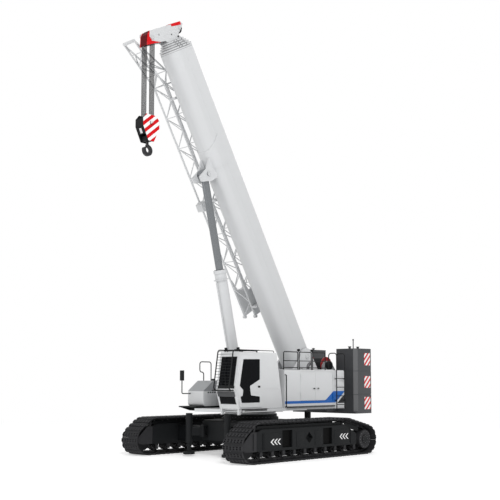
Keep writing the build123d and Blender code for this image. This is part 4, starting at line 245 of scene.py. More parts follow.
# %% [markdown]
# The engine house carries a blue stripe: a thin band that kicks up towards the tail. A pattern
# that follows the panel in real metres is cut out of two coordinates with comparisons, so it stays
# sharp at any distance and needs no image. Behind the kick a black wedge follows the same slope.
# %% House paint with its stripe
STRIPE_LOW, STRIPE_HIGH, KICK_TOP = 1.69, 1.78, 2.09
STRIPE_REAR, STRIPE_FRONT = -2.70, -0.07
KICK_FRONT_X, KICK_FRONT_SLOPE = -2.14, 0.71
KICK_REAR_X, WEDGE_X, REAR_SLOPE = -2.68, -2.80, 0.73
house = paint("house_white", WHITE, coat=0.0, shine=0.3)
outside = house.y > 1.4
below_front = house.z - STRIPE_HIGH + (house.x - KICK_FRONT_X) * KICK_FRONT_SLOPE < 0
above_rear = house.z - STRIPE_LOW + (house.x - KICK_REAR_X) * REAR_SLOPE > 0
below_rear = house.z - STRIPE_LOW + (house.x - WEDGE_X) * REAR_SLOPE < 0
band = between(house.z, STRIPE_LOW, STRIPE_HIGH) * between(house.x, STRIPE_REAR, STRIPE_FRONT)
kick = below_front * above_rear * between(house.z, STRIPE_LOW, KICK_TOP) * (house.x < -2.1)
wedge = below_rear * between(house.z, STRIPE_LOW - 0.02, 2.0) * (house.x < WEDGE_X)
house.overpaint((band + kick).clamp() * outside, BLUE)
house.overpaint(wedge * outside, BLACK)
house_white = house.material

# %% [markdown]
# Some solids wear two colours that part at one height or width: the boom head's nose is red, the
# tank box has a grey hood, and the tail frame's winch plates are mid grey. The ends of the cross
# beams lie in deep pockets of the track frames, where no light gets in, and are painted near-black
# as painted shade.
# %% Two-tone paints and painted shade on the beam ends
NOSE_X = 4.672
HOOD_LINE = 2.10
BEAM_SHADE_FROM = 2.5
head = paint("head_grey", BOOM_GREY, roughness=0.42, coat=0.0, shine=0.25)
head.overpaint(head.x > NOSE_X, RED)
head_grey = head.material
tank = paint("tank_two_tone", WHITE)
tank.overpaint(tank.z > HOOD_LINE, SHADE_GREY)
tank_two_tone = tank.material
tail = paint("tail_two_tone", DARK_GREY, roughness=0.55, dust=0.1)
tail.overpaint((tail.z > 1.80) * (tail.y.size() < 0.46), SHADE_GREY)
tail_two_tone = tail.material
beam = paint("beam_black_shaded_ends", BLACK, roughness=0.5, dust=0.0, coat=0.0, shine=0.05)
# Past that width the beam ends are painted near-black: painted shade of the frame pockets.
beam.overpaint(beam.y.size() > BEAM_SHADE_FROM, (0.002, 0.002, 0.002))
beam_black_shaded_ends = beam.material

# %% [markdown]
# The track frames carry three small white chevrons near each end of their outer faces, which
# point forward. A chevron is the distance to a folded line, repeated three times.
# %% Track frame paint with chevrons
CHEVRONS = ((1.74, 0.61), (-1.57, 0.63))
CHEVRON_COUNT = 3
CHEVRON_PITCH = 0.15
CHEVRON_SHARE = 0.38
CHEVRON_LEAN = 1.25
CHEVRON_HALF_HEIGHT = 0.09
track_frame = paint("track_frame_black", BLACK, roughness=0.55, coat=0.0, shine=0.12)
outer_face = track_frame.y.size() > 2.62
for centre_x, centre_z in CHEVRONS:
    up = (track_frame.z - centre_z).size()
    start_x = centre_x - CHEVRON_COUNT / 2 * CHEVRON_PITCH
    along = track_frame.x - start_x + up * CHEVRON_LEAN
    bar = (along / CHEVRON_PITCH).part() < CHEVRON_SHARE
    row = between(along, 0.0, CHEVRON_COUNT * CHEVRON_PITCH) * (up < CHEVRON_HALF_HEIGHT)
    track_frame.overpaint(bar * row * outer_face, MARK_WHITE)
track_frame_black = track_frame.material

# %% [markdown]
# The hook block's cheeks are a warning: broad red and white diagonals. Only the two flat cheeks
# are striped, so the pattern is masked by how squarely a face looks sideways. The plates on the
# counterweight follow one sum of coordinates, so their stripes run at 45 degrees on every side.
# %% Warning stripes
CHEEK_STRIPE = 0.26
CHEEK_Y = 0.155
PLATE_STRIPE = 0.21
block = paint("block_stripes", BLACK, roughness=0.5, coat=0.0, shine=0.12)
stripe = ((block.z + block.x * 0.84) / CHEEK_STRIPE).part() < 0.52
cheek = (block.facing("Y").size() > 0.9) * (block.y.size() > CHEEK_Y)
block.overpaint(cheek, block.mix(stripe, (0.88, 0.88, 0.88), RED))
block_stripes = block.material
plate = paint("warning_stripes", RED, roughness=0.4)
plate.overpaint(((plate.z + plate.x + plate.y.size()) / PLATE_STRIPE).part() < 0.5, MARK_WHITE)
warning_stripes = plate.material

# %% [markdown]
# ## Bare metals, rope, glass and cloth
# Track shoes are cast and run dark, polished only where they rub. The cylinder rod is hard chrome
# that mirrors its dark surroundings. Cab glass is tinted nearly black.
# %% Metals and glass
def metal(name, colour, roughness, metallic=1.0, scratches=0.3, shine=0.5):
    """Worked metal with a fine grain and cloudy wear."""
    made = Finish(name, Metallic=metallic, Specular_IOR_Level=shine)
    cloud = made.noise(6.0, 5.0)
    grain = made.noise(90.0, 2.0, (1.0, 1.0, 6.0))
    bright = [min(1.0, channel * 1.6 + 0.01) for channel in colour]
    made.colour(made.mix(cloud * scratches, colour, bright))
    made.give("Roughness", roughness + (cloud - 0.5) * 0.2 + (grain - 0.5) * 0.08)
    made.bump(grain + cloud, 0.08, 0.001)
    return made.material


track_steel = metal("track_steel", (0.024, 0.024, 0.026), 0.6, 0.10, 0.5, 0.15)
# Nearly black for the pits sunk in the shoes: painted shade.
pit_painted_shade = metal("pit_painted_shade", (0.0015, 0.0015, 0.002), 0.9, 0.0, 0.4, 0.0)
rod_chrome = metal("rod_chrome", (0.20, 0.21, 0.22), 0.28, 0.9, 0.1)
hook_steel = metal("hook_steel", (0.025, 0.025, 0.027), 0.42, 0.6, 0.3)
bolt_steel = metal("bolt_steel", (0.12, 0.12, 0.125), 0.4, 0.8, 0.2)

glass = Finish(
    "cab_tint", Base_Color=(0.003, 0.0035, 0.005, 1.0), IOR=1.3, Specular_IOR_Level=0.15
)
haze = glass.noise(2.5, 3.0)
glass.give("Roughness", 0.04 + haze * 0.06)
glass.give("Alpha", 0.91 + haze * 0.06)
cab_tint = glass.material

THREADS = 900.0
cloth = Finish("seat_cloth", Sheen_Weight=0.3)
weave = (cloth.x * THREADS).wave() * (cloth.z * THREADS).wave()
cloth.colour(cloth.mix((weave * 0.5 + 0.5) * 0.6, (0.03, 0.03, 0.033), (0.07, 0.07, 0.075)))
cloth.give("Roughness", 0.85 + weave * 0.05)
cloth.bump(weave, 0.3, 0.001)
seat_cloth = cloth.material

# %% [markdown]
# Hoist rope is greased strand, nearly black. Its wires show as fine light and dark bands, drawn
# from the height and the place across the rope.
# %% Rope
WIRES = 210.0
wire_rope = Finish("rope_lay", Roughness=0.65, Specular_IOR_Level=0.15)
across = (wire_rope.x + wire_rope.y) * 2
lay = ((wire_rope.z + across) * WIRES).wave() * 0.5 + 0.5
grease = wire_rope.noise(3.0, 4.0)
wire_rope.colour(wire_rope.mix(lay * 0.6 + grease * 0.3, BLACK, (0.030, 0.031, 0.033)))
wire_rope.bump(lay, 0.6, 0.002)
rope_lay = wire_rope.material

# %% [markdown]
# ## Each solid gets its finish
# Each finish lists the beginnings of its solids' names; where two fit, the longer one counts.
# %% Dress the solids
DRESS = (
    (frame_black, "carbody slew_ring jack_ side_decks front_guard ladder roof_handrails"),
    (frame_black, "right_fittings"), (beam_black_shaded_ends, "cross_beam"),
    (track_frame_black, "track_frame"), (track_steel, "track_left track_right running_gear"),
    (cab_white, "turntable cab_shell cab_door house_right"),
    (cab_tint, "cab_glass cab_door_glass"), (seat_cloth, "cab_interior"),
    (house_white, "house_left service_door"), (stack_grey, "engine_block counterweight"),
    (tank_two_tone, "tank_box"), (tail_two_tone, "tail_frame"), (drum_red, "winch_drum"),
    (head_grey, "boom_head"), (boom_grey, "jib_ luff_barrel"), (rod_chrome, "luff_rod"),
    (signal_red, "head_guards"), (shaded_guard_red, "rope_guard"), (rope_lay, "hoist_falls"),
    (hook_steel, "head_sheaves block_sheaves hook"), (block_stripes, "hook_block"),
) + tuple(zip(collar_paints, BOOM_BODIES))
finishes = {begin: finish for finish, names in DRESS for begin in names.split()}
for node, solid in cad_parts.items():
    finish = finishes[max(filter(node.startswith, finishes), key=len)]
    for slot in solid.material_slots:
        slot.material = finish
    if not solid.material_slots:
        solid.data.materials.append(finish)
print("dressed", len(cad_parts), "solids")

# %% [markdown]
# ## Working by hand
# A workshop has a few motions that come up again and again: clear the bench, take a raw block or
# a round blank, pick faces, ease the edges, draw faces in, and put the piece on the body that
# carries it. Each is a small function here, made of Blender's own operators run in order.
# %% Bench helpers
LEVEL = (0.0, 0.0, 0.0)
SIDEWAYS = (0, 1, 0)
UPWARD = (0, 0, 1)


def clear_bench():
    """Nothing selected and nothing in edit mode."""
    if bpy.context.object and bpy.context.object.mode != "OBJECT":
        bpy.ops.object.mode_set(mode="OBJECT")
    bpy.ops.object.select_all(action="DESELECT")


def in_hand(name):
    """Names the new raw piece, writes its place and turn into its mesh and enters edit mode."""
    piece = bpy.context.active_object
    piece.name = name
    bpy.ops.object.transform_apply(location=True, rotation=True, scale=True)
    bpy.ops.object.mode_set(mode="EDIT")
    return piece


def take_block(name, centre, size, turn=LEVEL):
    """A raw block in edit mode."""
    clear_bench()
    bpy.ops.mesh.primitive_cube_add(size=1.0, location=centre, rotation=turn, scale=size)
    return in_hand(name)


def take_round(name, centre, axis, radius, length, sides=24):
    """A raw round bar in edit mode; its axis points along a direction."""
    clear_bench()
    turn = Vector(axis).to_track_quat("Z", "Y").to_euler()
    bpy.ops.mesh.primitive_cylinder_add(
        vertices=sides, radius=radius, depth=length, location=centre, rotation=turn
    )
    return in_hand(name)


def pick_faces(piece, wanted):
    """Selects the faces whose centre and normal pass a test."""
    bpy.ops.mesh.select_mode(type="FACE")
    mesh = bmesh.from_edit_mesh(piece.data)
    for face in mesh.faces:
        face.select_set(wanted(face.calc_center_median(), face.normal))
    mesh.select_flush_mode()
    bmesh.update_edit_mesh(piece.data)


def pick_facing(piece, way, least=0.9):
    """Selects the faces that look along a direction."""
    pick_faces(piece, lambda place, normal: normal.dot(Vector(way)) > least)


def pick_ends(piece, axis=SIDEWAYS):
    """Selects both ends of a piece along its axis."""
    pick_faces(piece, lambda place, normal: abs(normal.dot(Vector(axis))) > 0.9)


def pick_rim(piece):
    """Selects the round face of a wheel that turns about the sideways axis."""
    pick_faces(piece, lambda place, normal: abs(normal.y) < 0.1)


def draw_in(*steps, each=False):
    """Insets the picked faces step by step; a step is how far in and how far up."""
    for inward, outward in steps:
        bpy.ops.mesh.inset(thickness=inward, depth=outward, use_individual=each)


def ease_edges(width, steps=1):
    """Rounds every edge of the piece in hand."""
    bpy.ops.mesh.select_all(action="SELECT")
    bpy.ops.mesh.bevel(offset=width, segments=steps, affect="EDGES")


def put_by(piece):
    """Leaves edit mode; the piece waits on the bench to be joined with others."""
    bpy.ops.object.mode_set(mode="OBJECT")
    return piece


def turned(name, centre, axis, radius, length, sides, *steps, outer=None):
    """A round piece with both ends drawn in step by step, or only its outer end, put by."""
    piece = take_round(name, centre, axis, radius, length, sides)
    if outer:
        pick_facing(piece, outer)
    else:
        pick_ends(piece, axis)
    draw_in(*steps, each=not outer)
    return put_by(piece)


def faced(name, centre, size, way, *steps):
    """A block with the face that looks one way drawn in step by step, put by."""
    piece = take_block(name, centre, size)
    pick_facing(piece, way)
    draw_in(*steps)
    return put_by(piece)


def eased_block(name, centre, size, width, turn=LEVEL, steps=1):
    """A block with eased edges, put by."""
    piece = take_block(name, centre, size, turn)
    ease_edges(width, steps)
    return put_by(piece)


def lay_down(piece, finish, body=None, smooth=35.0):
    """Leaves edit mode, gives the finish and puts the piece on its body, if it names one."""
    bpy.ops.object.mode_set(mode="OBJECT")
    bpy.ops.object.shade_smooth_by_angle(angle=radians(smooth))
    recoat(piece, finish)
    if body:
        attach(piece, body)
    return piece


def recoat(piece, finish):
    piece.data.materials.clear()
    piece.data.materials.append(finish)


def join_as(name, pieces):
    """Joins pieces into one mesh."""
    clear_bench()
    for piece in pieces:
        piece.select_set(True)
    bpy.context.view_layer.objects.active = pieces[0]
    if len(pieces) > 1:
        bpy.ops.object.join()
    pieces[0].name = name
    return pieces[0]


def lay_together(name, pieces, finish, body):
    """Joins pieces into one mesh and lays it down."""
    return lay_down(join_as(name, pieces), finish, body)


def lay_blocks(name, blocks, width, finish, turn=LEVEL):
    """Eased blocks, each given by its centre and size, as one piece on the upper works."""
    pieces = [eased_block("block", centre, size, width, turn) for centre, size in blocks]
    lay_together(name, pieces, finish, "upper")


def spread(name, pattern, places):
    """Copies a finished pattern to many places (matrices) and joins the copies into one mesh."""
    copies = []
    for place in places:
        twin = bpy.data.objects.new(name, pattern.data.copy())
        twin.data.transform(place)
        bpy.context.scene.collection.objects.link(twin)
        copies.append(twin)
    bpy.data.objects.remove(pattern)
    return join_as(name, copies)


def shift(x, y, z):
    return Matrix.Translation((x, y, z))


# %% [markdown]
# Tubes need two more helpers: one bends a tube along a line of points and lays it down, the other
# cuts a straight bar to length. Places on the boom are given along it and square to it.
# %% Tubes and places on the boom
ALONG = Vector((cos(BOOM_ANGLE), 0.0, sin(BOOM_ANGLE)))
ACROSS = Vector((-sin(BOOM_ANGLE), 0.0, cos(BOOM_ANGLE)))
BOOM_TURN = (0.0, -BOOM_ANGLE, 0.0)
ARC_STEPS = 4


def boom_place(u, v, y=0.0):
    """A point given along the boom and square to it, from the foot pin, in metres."""
    return FOOT_PIN + ALONG * u + ACROSS * v + Vector((0.0, y, 0.0))


def lay_tube(name, points, radius, finish, body, sides=12, rounding=0.0):
    """A tube along a line of points; corners are rounded by extra points on a small arc."""
    path = [Vector(points[0])]
    for before, corner, after in zip(points, points[1:], points[2:]):
        corner = Vector(corner)
        back = (Vector(before) - corner).normalized() * rounding
        ahead = (Vector(after) - corner).normalized() * rounding
        shares = [step / ARC_STEPS for step in range(ARC_STEPS + 1)] if rounding else [0.0]
        path.extend(corner + back * (1 - share) ** 2 + ahead * share ** 2 for share in shares)
    path.append(Vector(points[-1]))
    clear_bench()
    curve = bpy.data.curves.new(name, "CURVE")
    curve.dimensions = "3D"
    curve.bevel_depth = radius
    curve.bevel_resolution = max(0, sides // 4 - 1)
    curve.use_fill_caps = True
    spline = curve.splines.new("POLY")
    spline.points.add(len(path) - 1)
    for spot, where in zip(spline.points, path):
        spot.co = (*where, 1.0)
    tube = bpy.data.objects.new(name, curve)
    bpy.context.scene.collection.objects.link(tube)
    tube.select_set(True)
    bpy.context.view_layer.objects.active = tube
    bpy.ops.object.convert(target="MESH")
    bpy.ops.object.mode_set(mode="EDIT")
    bpy.ops.mesh.select_all(action="SELECT")
    bpy.ops.mesh.remove_doubles(threshold=0.00001)
    bpy.ops.mesh.normals_make_consistent(inside=False)
    return lay_down(bpy.context.active_object, finish, body, 50.0)


def strut(start, end, radius, sides=12):
    """A tube between two points with its ends drawn in, as cut ends are."""
    start, end = Vector(start), Vector(end)
    run = end - start
    step = (radius * 0.25, radius * 0.05)
    middle = (start + end) / 2
    return turned("strut", middle, run.normalized(), radius, run.length, sides, step)


# %% [markdown]
# ## Crawler tracks
# A crawler's track is a chain of forged links with a pressed or cast shoe bolted to each. One shoe
# and one pair of links are made flat on the bench, then a copy is set at every pitch round the
# loop. The loop itself is found as a belt is: round two wheels and over two small rollers, on the
# lines that touch both.
# %% The loop that the chain follows
SIDES = (("left", 1), ("right", -1))
TRACK_Y = 2.4
WHEEL_X, WHEEL_Z, WHEEL_RADIUS = 2.78, 0.49, 0.445
CARRIER_Z, CARRIER_RADIUS = 1.06, 0.135
BELT_WHEELS = (
    (WHEEL_X, WHEEL_Z, WHEEL_RADIUS), (2.53, CARRIER_Z, CARRIER_RADIUS),
    (-1.73, CARRIER_Z, CARRIER_RADIUS), (-WHEEL_X, WHEEL_Z, WHEEL_RADIUS),
)
ARC_STEP = 0.01
SHOE_PITCH = 0.2


def belt_line():
    """Straight runs and arcs of the belt, seen from the right, as sampled points."""
    turns = []
    for (ax, az, ar), (bx, bz, br) in zip(BELT_WHEELS, BELT_WHEELS[1:] + BELT_WHEELS[:1]):
        gap = Vector((bx - ax, bz - az))
        spare = ar - br
        rise = atan2(spare, (gap.length ** 2 - spare ** 2) ** 0.5)
        turns.append(atan2(gap.y, gap.x) - pi / 2 + rise)
    line = []
    for i, (turn, (x, z, radius)) in enumerate(zip(turns, BELT_WHEELS)):
        came = turns[i - 1]
        sweep = (turn - came) % (2 * pi)
        steps = max(2, int(sweep * radius / ARC_STEP))
        for k in range(steps + 1):
            angle = came + sweep * k / steps
            line.append(Vector((x + radius * cos(angle), z + radius * sin(angle))))
    return line + [line[0].copy()]


belt = belt_line()
belt_runs = [0.0]
for near, far in zip(belt, belt[1:]):
    belt_runs.append(belt_runs[-1] + (far - near).length)
belt_length = belt_runs[-1]
shoe_count = round(belt_length / SHOE_PITCH)


def on_belt(run):
    """The point at a distance along the belt."""
    run = run % belt_length
    i = next(k for k in range(1, len(belt)) if belt_runs[k] >= run)
    share = (run - belt_runs[i - 1]) / max(1e-9, belt_runs[i] - belt_runs[i - 1])
    return belt[i - 1].lerp(belt[i], share)


print("belt", round(belt_length, 3), "m,", shoe_count, "shoes")

# %% [markdown]
# The shoe is made with the chain's line at z 0 and its ground face up. A thin plate is cut into
# strips, the middle strips grow into a broad grouser, and six pits are sunk in its face, their
# faces painted nearly black as painted shade.
# %% One shoe
SHOE_WIDTH = 0.80
SHOE_THICK = 0.045
PLATE_THICK = 0.013
GROUSER_HALF = 0.062
PIT_HALF = 0.042
PIT_YS = [0.135 * (k - 2.5) for k in range(6)]
shoe = take_block(
    "shoe", (0.0, 0.0, PLATE_THICK / 2), (SHOE_PITCH - 0.003, SHOE_WIDTH, PLATE_THICK)
)
cuts = [((x, 0.0, 0.0), (1.0, 0.0, 0.0)) for x in (-GROUSER_HALF, 0.0, GROUSER_HALF)]
cuts += [((0.0, y + edge, 0.0), (0.0, 1.0, 0.0)) for y in PIT_YS for edge in (-PIT_HALF, PIT_HALF)]
for place, way in cuts:
    bpy.ops.mesh.select_all(action="SELECT")
    bpy.ops.mesh.bisect(plane_co=place, plane_no=way)
pick_faces(shoe, lambda place, normal: normal.z > 0.9 and abs(place.x) < GROUSER_HALF)
bpy.ops.mesh.extrude_region_move(
    TRANSFORM_OT_translate={"value": (0.0, 0.0, SHOE_THICK - PLATE_THICK)}
)
bpy.ops.transform.resize(value=(0.92, 1.0, 1.0), center_override=(0.0, 0.0, SHOE_THICK))
pick_faces(shoe, lambda place, normal: (
    place.z > SHOE_THICK - 0.002 and min(abs(place.y - y) for y in PIT_YS) < 0.01
))
draw_in((0.008, 0.0), (0.003, -0.020), each=True)
# The pits' faces take the near-black finish: painted shade.
shoe.data.materials.append(track_steel)
shoe.data.materials.append(pit_painted_shade)
shoe.active_material_index = 1
bpy.ops.object.material_slot_assign()
put_by(shoe)
print("shoe", len(shoe.data.polygons), "faces")

# %% [markdown]
# Two link plates stand side by side under each shoe, and a bushing crosses them at the joint.
# %% One pair of links
LINK_HIGH = 0.085
links = []
for y in (-0.075, 0.075):
    size = (SHOE_PITCH * 0.94, 0.028, LINK_HIGH)
    links.append(eased_block("link", (0.0, y, -LINK_HIGH / 2), size, 0.012))
joint = (SHOE_PITCH / 2, 0.0, -0.05)
links.append(turned("bushing", joint, SIDEWAYS, 0.022, 0.19, 10, (0.006, -0.003)))
link_pair = join_as("link_pair", links)
recoat(link_pair, track_steel)

# %% [markdown]
# Each copy lies on the chord of its own pitch, so the shoes fan out round the wheels.
# %% Set them round the loop
for side_name, side in SIDES:
    places = []
    for i in range(shoe_count):
        start = on_belt(i * belt_length / shoe_count)
        end = on_belt((i + 1) * belt_length / shoe_count)
        middle = (start + end) / 2
        lean = atan2(start.y - end.y, start.x - end.x)
        place = shift(middle.x, side * TRACK_Y, middle.y)
        places.append(place @ Matrix.Rotation(-lean, 4, "Y"))
    for pattern, piece_name in ((shoe, "track_shoes"), (link_pair, "track_chain")):
        blank = bpy.data.objects.new(piece_name, pattern.data.copy())
        laid = spread(f"{piece_name}_{side_name}", blank, places)
        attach(laid, "undercarriage")
        if pattern is shoe:
            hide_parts(f"track_{side_name}")
bpy.data.objects.remove(shoe)
bpy.data.objects.remove(link_pair)

# %% [markdown]
# ## Bolts on the undercarriage
# Final drives, idlers and the slewing ring are all held by rings of bolts. One bolt is modelled
# and copied round each circle. The rings catch light where black paint hides everything else.
# %% Rings of bolts
def bolt_pattern(centre, axis, radius, height):
    """One hexagon bolt: a six-sided head, its top face drawn in and lifted to a chamfer."""
    step = (radius * 0.14, radius * 0.1)
    return turned("bolt", centre, axis, radius, height, 6, step, outer=axis)


def bolt_ring(name, centre, axis, circle, count, radius, height, body):
    """Copies of one bolt on a circle about an axis."""
    along = Vector(axis).normalized()
    first = along.orthogonal().normalized() * circle
    bolt = bolt_pattern(Vector(centre) + along * height / 2 + first, along, radius, height)
    here = Matrix.Translation(centre)
    back = here.inverted()
    turns = [here @ Matrix.Rotation(2 * pi * i / count, 4, along) @ back for i in range(count)]
    ring = spread(name, bolt, turns)
    recoat(ring, bolt_steel)
    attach(ring, body)


DRIVE_FACE_Y = 2.67
for side_name, side in SIDES:
    face_y = side * DRIVE_FACE_Y
    way = (0, side, 0)
    bolt_ring(
        f"drive_bolts_{side_name}", (-WHEEL_X, face_y, WHEEL_Z), way,
        0.262, 16, 0.016, 0.014, "undercarriage",
    )
    bolt_ring(
        f"drive_cover_bolts_{side_name}", (-WHEEL_X, face_y + side * 0.018, WHEEL_Z), way,
        0.115, 8, 0.012, 0.01, "undercarriage",
    )
    cover = turned(
        f"drive_cover_{side_name}", (-WHEEL_X, face_y + side * 0.009, WHEEL_Z), SIDEWAYS,
        0.15, 0.018, 40, (0.01, 0.004), (0.07, 0.0), (0.008, 0.006),
    )
    lay_down(cover, frame_black, "undercarriage")
bolt_ring("slew_bolts", (0.0, 0.0, 1.24), UPWARD, 0.915, 44, 0.014, 0.014, "undercarriage")

# %% [markdown]
# Each track frame is a box girder with bolted covers and upright ribs, a few millimetres proud of
# its face. Chain guides stand on its top at both sides of the chain and fall away at the rear.
# %% Plates on the track frames
FRAME_FACE_Y = 2.65
COVERS = (
    (1.84, 0.64, 0.62, 0.48), (-0.38, 0.64, 0.36, 0.46),
    (0.52, 0.64, 0.34, 0.46), (-1.55, 0.62, 0.78, 0.46),
)
for side_name, side in SIDES:
    face_y = side * FRAME_FACE_Y
    plates = []
    for x, z, length, height in COVERS:
        place, size = (x, face_y + side * 0.003, z), (length, 0.006, height)
        plates.append(faced("plate", place, size, (0, side, 0), (0.008, 0.002)))
    for x in (2.62, 2.20, -2.02):
        place = (x, face_y + side * 0.009, 0.64)
        plates.append(eased_block("rib", place, (0.016, 0.018, 0.50), 0.004))
    for aside in (-0.17, 0.17):
        y = side * TRACK_Y + aside
        guide = take_block("guide", (0.40, y, 1.047), (4.05, 0.014, 0.112))
        pick_facing(guide, UPWARD)
        bpy.ops.transform.resize(value=(0.98, 1.0, 1.0))
        ease_edges(0.003)
        plates.append(put_by(guide))
        turn = (0.0, radians(-13.4), 0.0)
        plates.append(eased_block("guide", (-2.15, y, 0.92), (0.80, 0.014, 0.15), 0.003, turn))
    lay_together(f"frame_plates_{side_name}", plates, track_frame_black, "undercarriage")

# %% [markdown]
# ## Sheaves
# A sheave is a wheel with a rope groove in its rim, a thin web and a thick hub. It starts as a
# disc: the rim is drawn in to make the groove, and each side is stepped down to leave web and hub.
# The plain discs of the frame are hidden, and these stand in the same places.
# %% Grooved sheaves
SHEAVE_RADIUS = 0.158
SHEAVE_PITCH = 0.052
SHEAVE_YS = [(i - 2) * SHEAVE_PITCH for i in range(5)]
GROOVE_DEPTH = 0.016
ROPE_RADIUS = 0.011
FALL_LENGTH = 2.7
HEAD_U, HEAD_V, CROWN_V = 11.9, -1.07, 0.2
HEAD_PIN = boom_place(HEAD_U, HEAD_V)
CROWN_PIN = boom_place(HEAD_U, CROWN_V)
BLOCK_PIN = HEAD_PIN - Vector((0.0, 0.0, FALL_LENGTH))


def sheave_row(name, centres, body, node):
    """Five grooved sheaves on each centre, in place of a plain node."""
    rows = []
    for centre in centres:
        sheave = take_round("sheave", centre, SIDEWAYS, SHEAVE_RADIUS, 0.038, 36)
        pick_rim(sheave)
        draw_in((0.006, -GROOVE_DEPTH))
        pick_ends(sheave)
        draw_in((0.026, 0.0), (0.004, -0.009), (0.028, 0.0), (0.004, 0.009), each=True)
        rows.append(spread("sheave_row", put_by(sheave), [shift(0, y, 0) for y in SHEAVE_YS]))
    row = lay_together(name, rows, hook_steel, body)
    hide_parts(node)


sheave_row("grooved_head_sheaves", (HEAD_PIN, CROWN_PIN), "boom_section_5", "head_sheaves")
sheave_row("grooved_block_sheaves", (BLOCK_PIN,), "hook_block", "block_sheaves")

# %% [markdown]
# ## Boom head
# Pins are kept in by a small cap with bolts: on the head and the hook block, at both ends of the
# luffing cylinder and at the boom's foot.
# %% Pin caps
ROD_EYE = boom_place(7.33, -0.963)
LUFF_FOOT = Vector((0.507, 0.0, 2.0))
PIN_CAPS = (
    ("head_pin_cap", HEAD_PIN, 0.205, 0.058, boom_grey, "boom_section_5", 6),
    ("crown_pin_cap", CROWN_PIN, 0.205, 0.058, boom_grey, "boom_section_5", 6),
    ("block_pin_cap", BLOCK_PIN, 0.215, 0.055, block_stripes, "hook_block", 6),
    ("rod_pin_cap", ROD_EYE, 0.2353, 0.068, boom_grey, "luff_rod", 6),
    ("luff_foot_cap", LUFF_FOOT, 0.285, 0.11, cab_white, "upper", 8),
    ("boom_foot_cap", FOOT_PIN, 0.535, 0.088, cab_white, "upper", 8),
)
for cap_name, pin, aside, radius, finish, body, bolts in PIN_CAPS:
    steps = ((radius * 0.08, 0.002), (radius * 0.45, 0.0), (radius * 0.06, -0.004))
    for side_name, side in SIDES:
        name = f"{cap_name}_{side_name}"
        way = Vector((0, side, 0))
        place = pin + way * (aside + 0.006)
        cap = turned(name, place, SIDEWAYS, radius, 0.012, 32, *steps, outer=way)
        lay_down(cap, finish, body)
        name, place = f"{name}_bolts", pin + way * (aside + 0.013)
        bolt_ring(name, place, way, radius * 0.72, bolts, radius * 0.09, 0.008, body)

# %% [markdown]
# The hoist rope comes up the boom's back, over the crown sheave and down to the lower sheaves; one
# rope is enough to show the way it runs. Every boom section carries its own stretch of the rope,
# one inside the next, so the run grows with the boom and only parts a little at full reach.
# %% Hoist rope along the boom
ROPE_Y = SHEAVE_YS[0]
ROPE_PATH = SHEAVE_RADIUS - GROOVE_DEPTH + ROPE_RADIUS
ROPE_V = CROWN_V + ROPE_PATH
over_crown = [boom_place(11.3, ROPE_V, ROPE_Y)]
for i in range(13):
    angle = pi / 2 - i * pi / 24
    outward = ALONG * cos(angle) + ACROSS * sin(angle)
    over_crown.append(CROWN_PIN + outward * ROPE_PATH + Vector((0.0, ROPE_Y, 0.0)))
over_crown.append(boom_place(HEAD_U + ROPE_PATH, HEAD_V, ROPE_Y))
rope = lay_tube("hoist_rope_over_head", over_crown, ROPE_RADIUS, rope_lay, "boom_section_5")
for index, body in enumerate(BOOM_BODIES):
    start_u = 0.15 if index == 0 else 1.2 + 0.1 * index
    run = [boom_place(start_u, ROPE_V, ROPE_Y), boom_place(11.36 + 0.02 * index, ROPE_V, ROPE_Y)]
    radius = ROPE_RADIUS - 0.0004 * index
    rope = lay_tube(f"hoist_rope_run_{index + 1}", run, radius, rope_lay, body)

# %% [markdown]
# Rollers between two posts hold the rope off the boom, and lifting eyes sit on the head's sides.
# %% Rope guides and lifting eyes
guides = []
for u in (0.12, 3.9, 7.6, 11.24):
    for y in (-0.16, 0.16):
        post = boom_place(u, 0.353, y)
        guides.append(eased_block("post", post, (0.05, 0.012, 0.07), 0.003, BOOM_TURN))
    place = boom_place(u, 0.332)
    guides.append(turned("roller", place, SIDEWAYS, 0.009, 0.31, 12, (0.003, 0.002)))
lay_together("rope_guides_on_boom", guides, frame_black, "boom_base")

eyes = []
for u, v in ((11.66, 0.03), (11.86, 0.28)):
    for y in (-0.187, 0.187):
        place, steps = boom_place(u, v, y), ((0.012, 0.0), (0.003, -0.005))
        eyes.append(turned("eye", place, SIDEWAYS, 0.032, 0.014, 20, *steps))
lay_together("head_eyes", eyes, frame_black, "boom_section_5")

# %% [markdown]
# Wear pads between the boom sections are adjusted through the guide collars, so each collar shows
# a few bolts on every side. The cylinder's gland is held by a ring of bolts round its seal.
# %% Bolts on the collars and the gland
SECTION_STEP = 0.045
for index in range(1, 5):
    edge = COLLAR_FRONT + index * COLLAR_PITCH - 0.03
    half = (0.78 - 2 * (index - 1) * SECTION_STEP) / 2
    top = -0.17 + (0.49 - (index - 1) * SECTION_STEP) + 0.006
    bolts = []
    for side_name, side in SIDES:
        for v in (-0.30, -0.17, 0.05):
            place = boom_place(edge, v, side * (half + 0.006))
            bolts.append(bolt_pattern(place, (0, side, 0), 0.014, 0.012))
    for y in (-0.2, 0.0, 0.2):
        bolts.append(bolt_pattern(boom_place(edge, top, y), ACROSS, 0.014, 0.012))
    lay_together(f"collar_bolts_{index + 1}", bolts, bolt_steel, BOOM_BODIES[index])

LUFF_WAY = (ROD_EYE - LUFF_FOOT).normalized()
GLAND_RUN = 4.19
gland = LUFF_FOOT + LUFF_WAY * GLAND_RUN
bolt_ring("gland_bolts", gland, LUFF_WAY, 0.172, 14, 0.014, 0.012, "luff_barrel")
place = gland + LUFF_WAY * 0.004
step = (0.018, 0.004)
seal = turned("gland_seal", place, LUFF_WAY, 0.148, 0.008, 40, step, outer=LUFF_WAY)
lay_down(seal, frame_black, "luff_barrel")

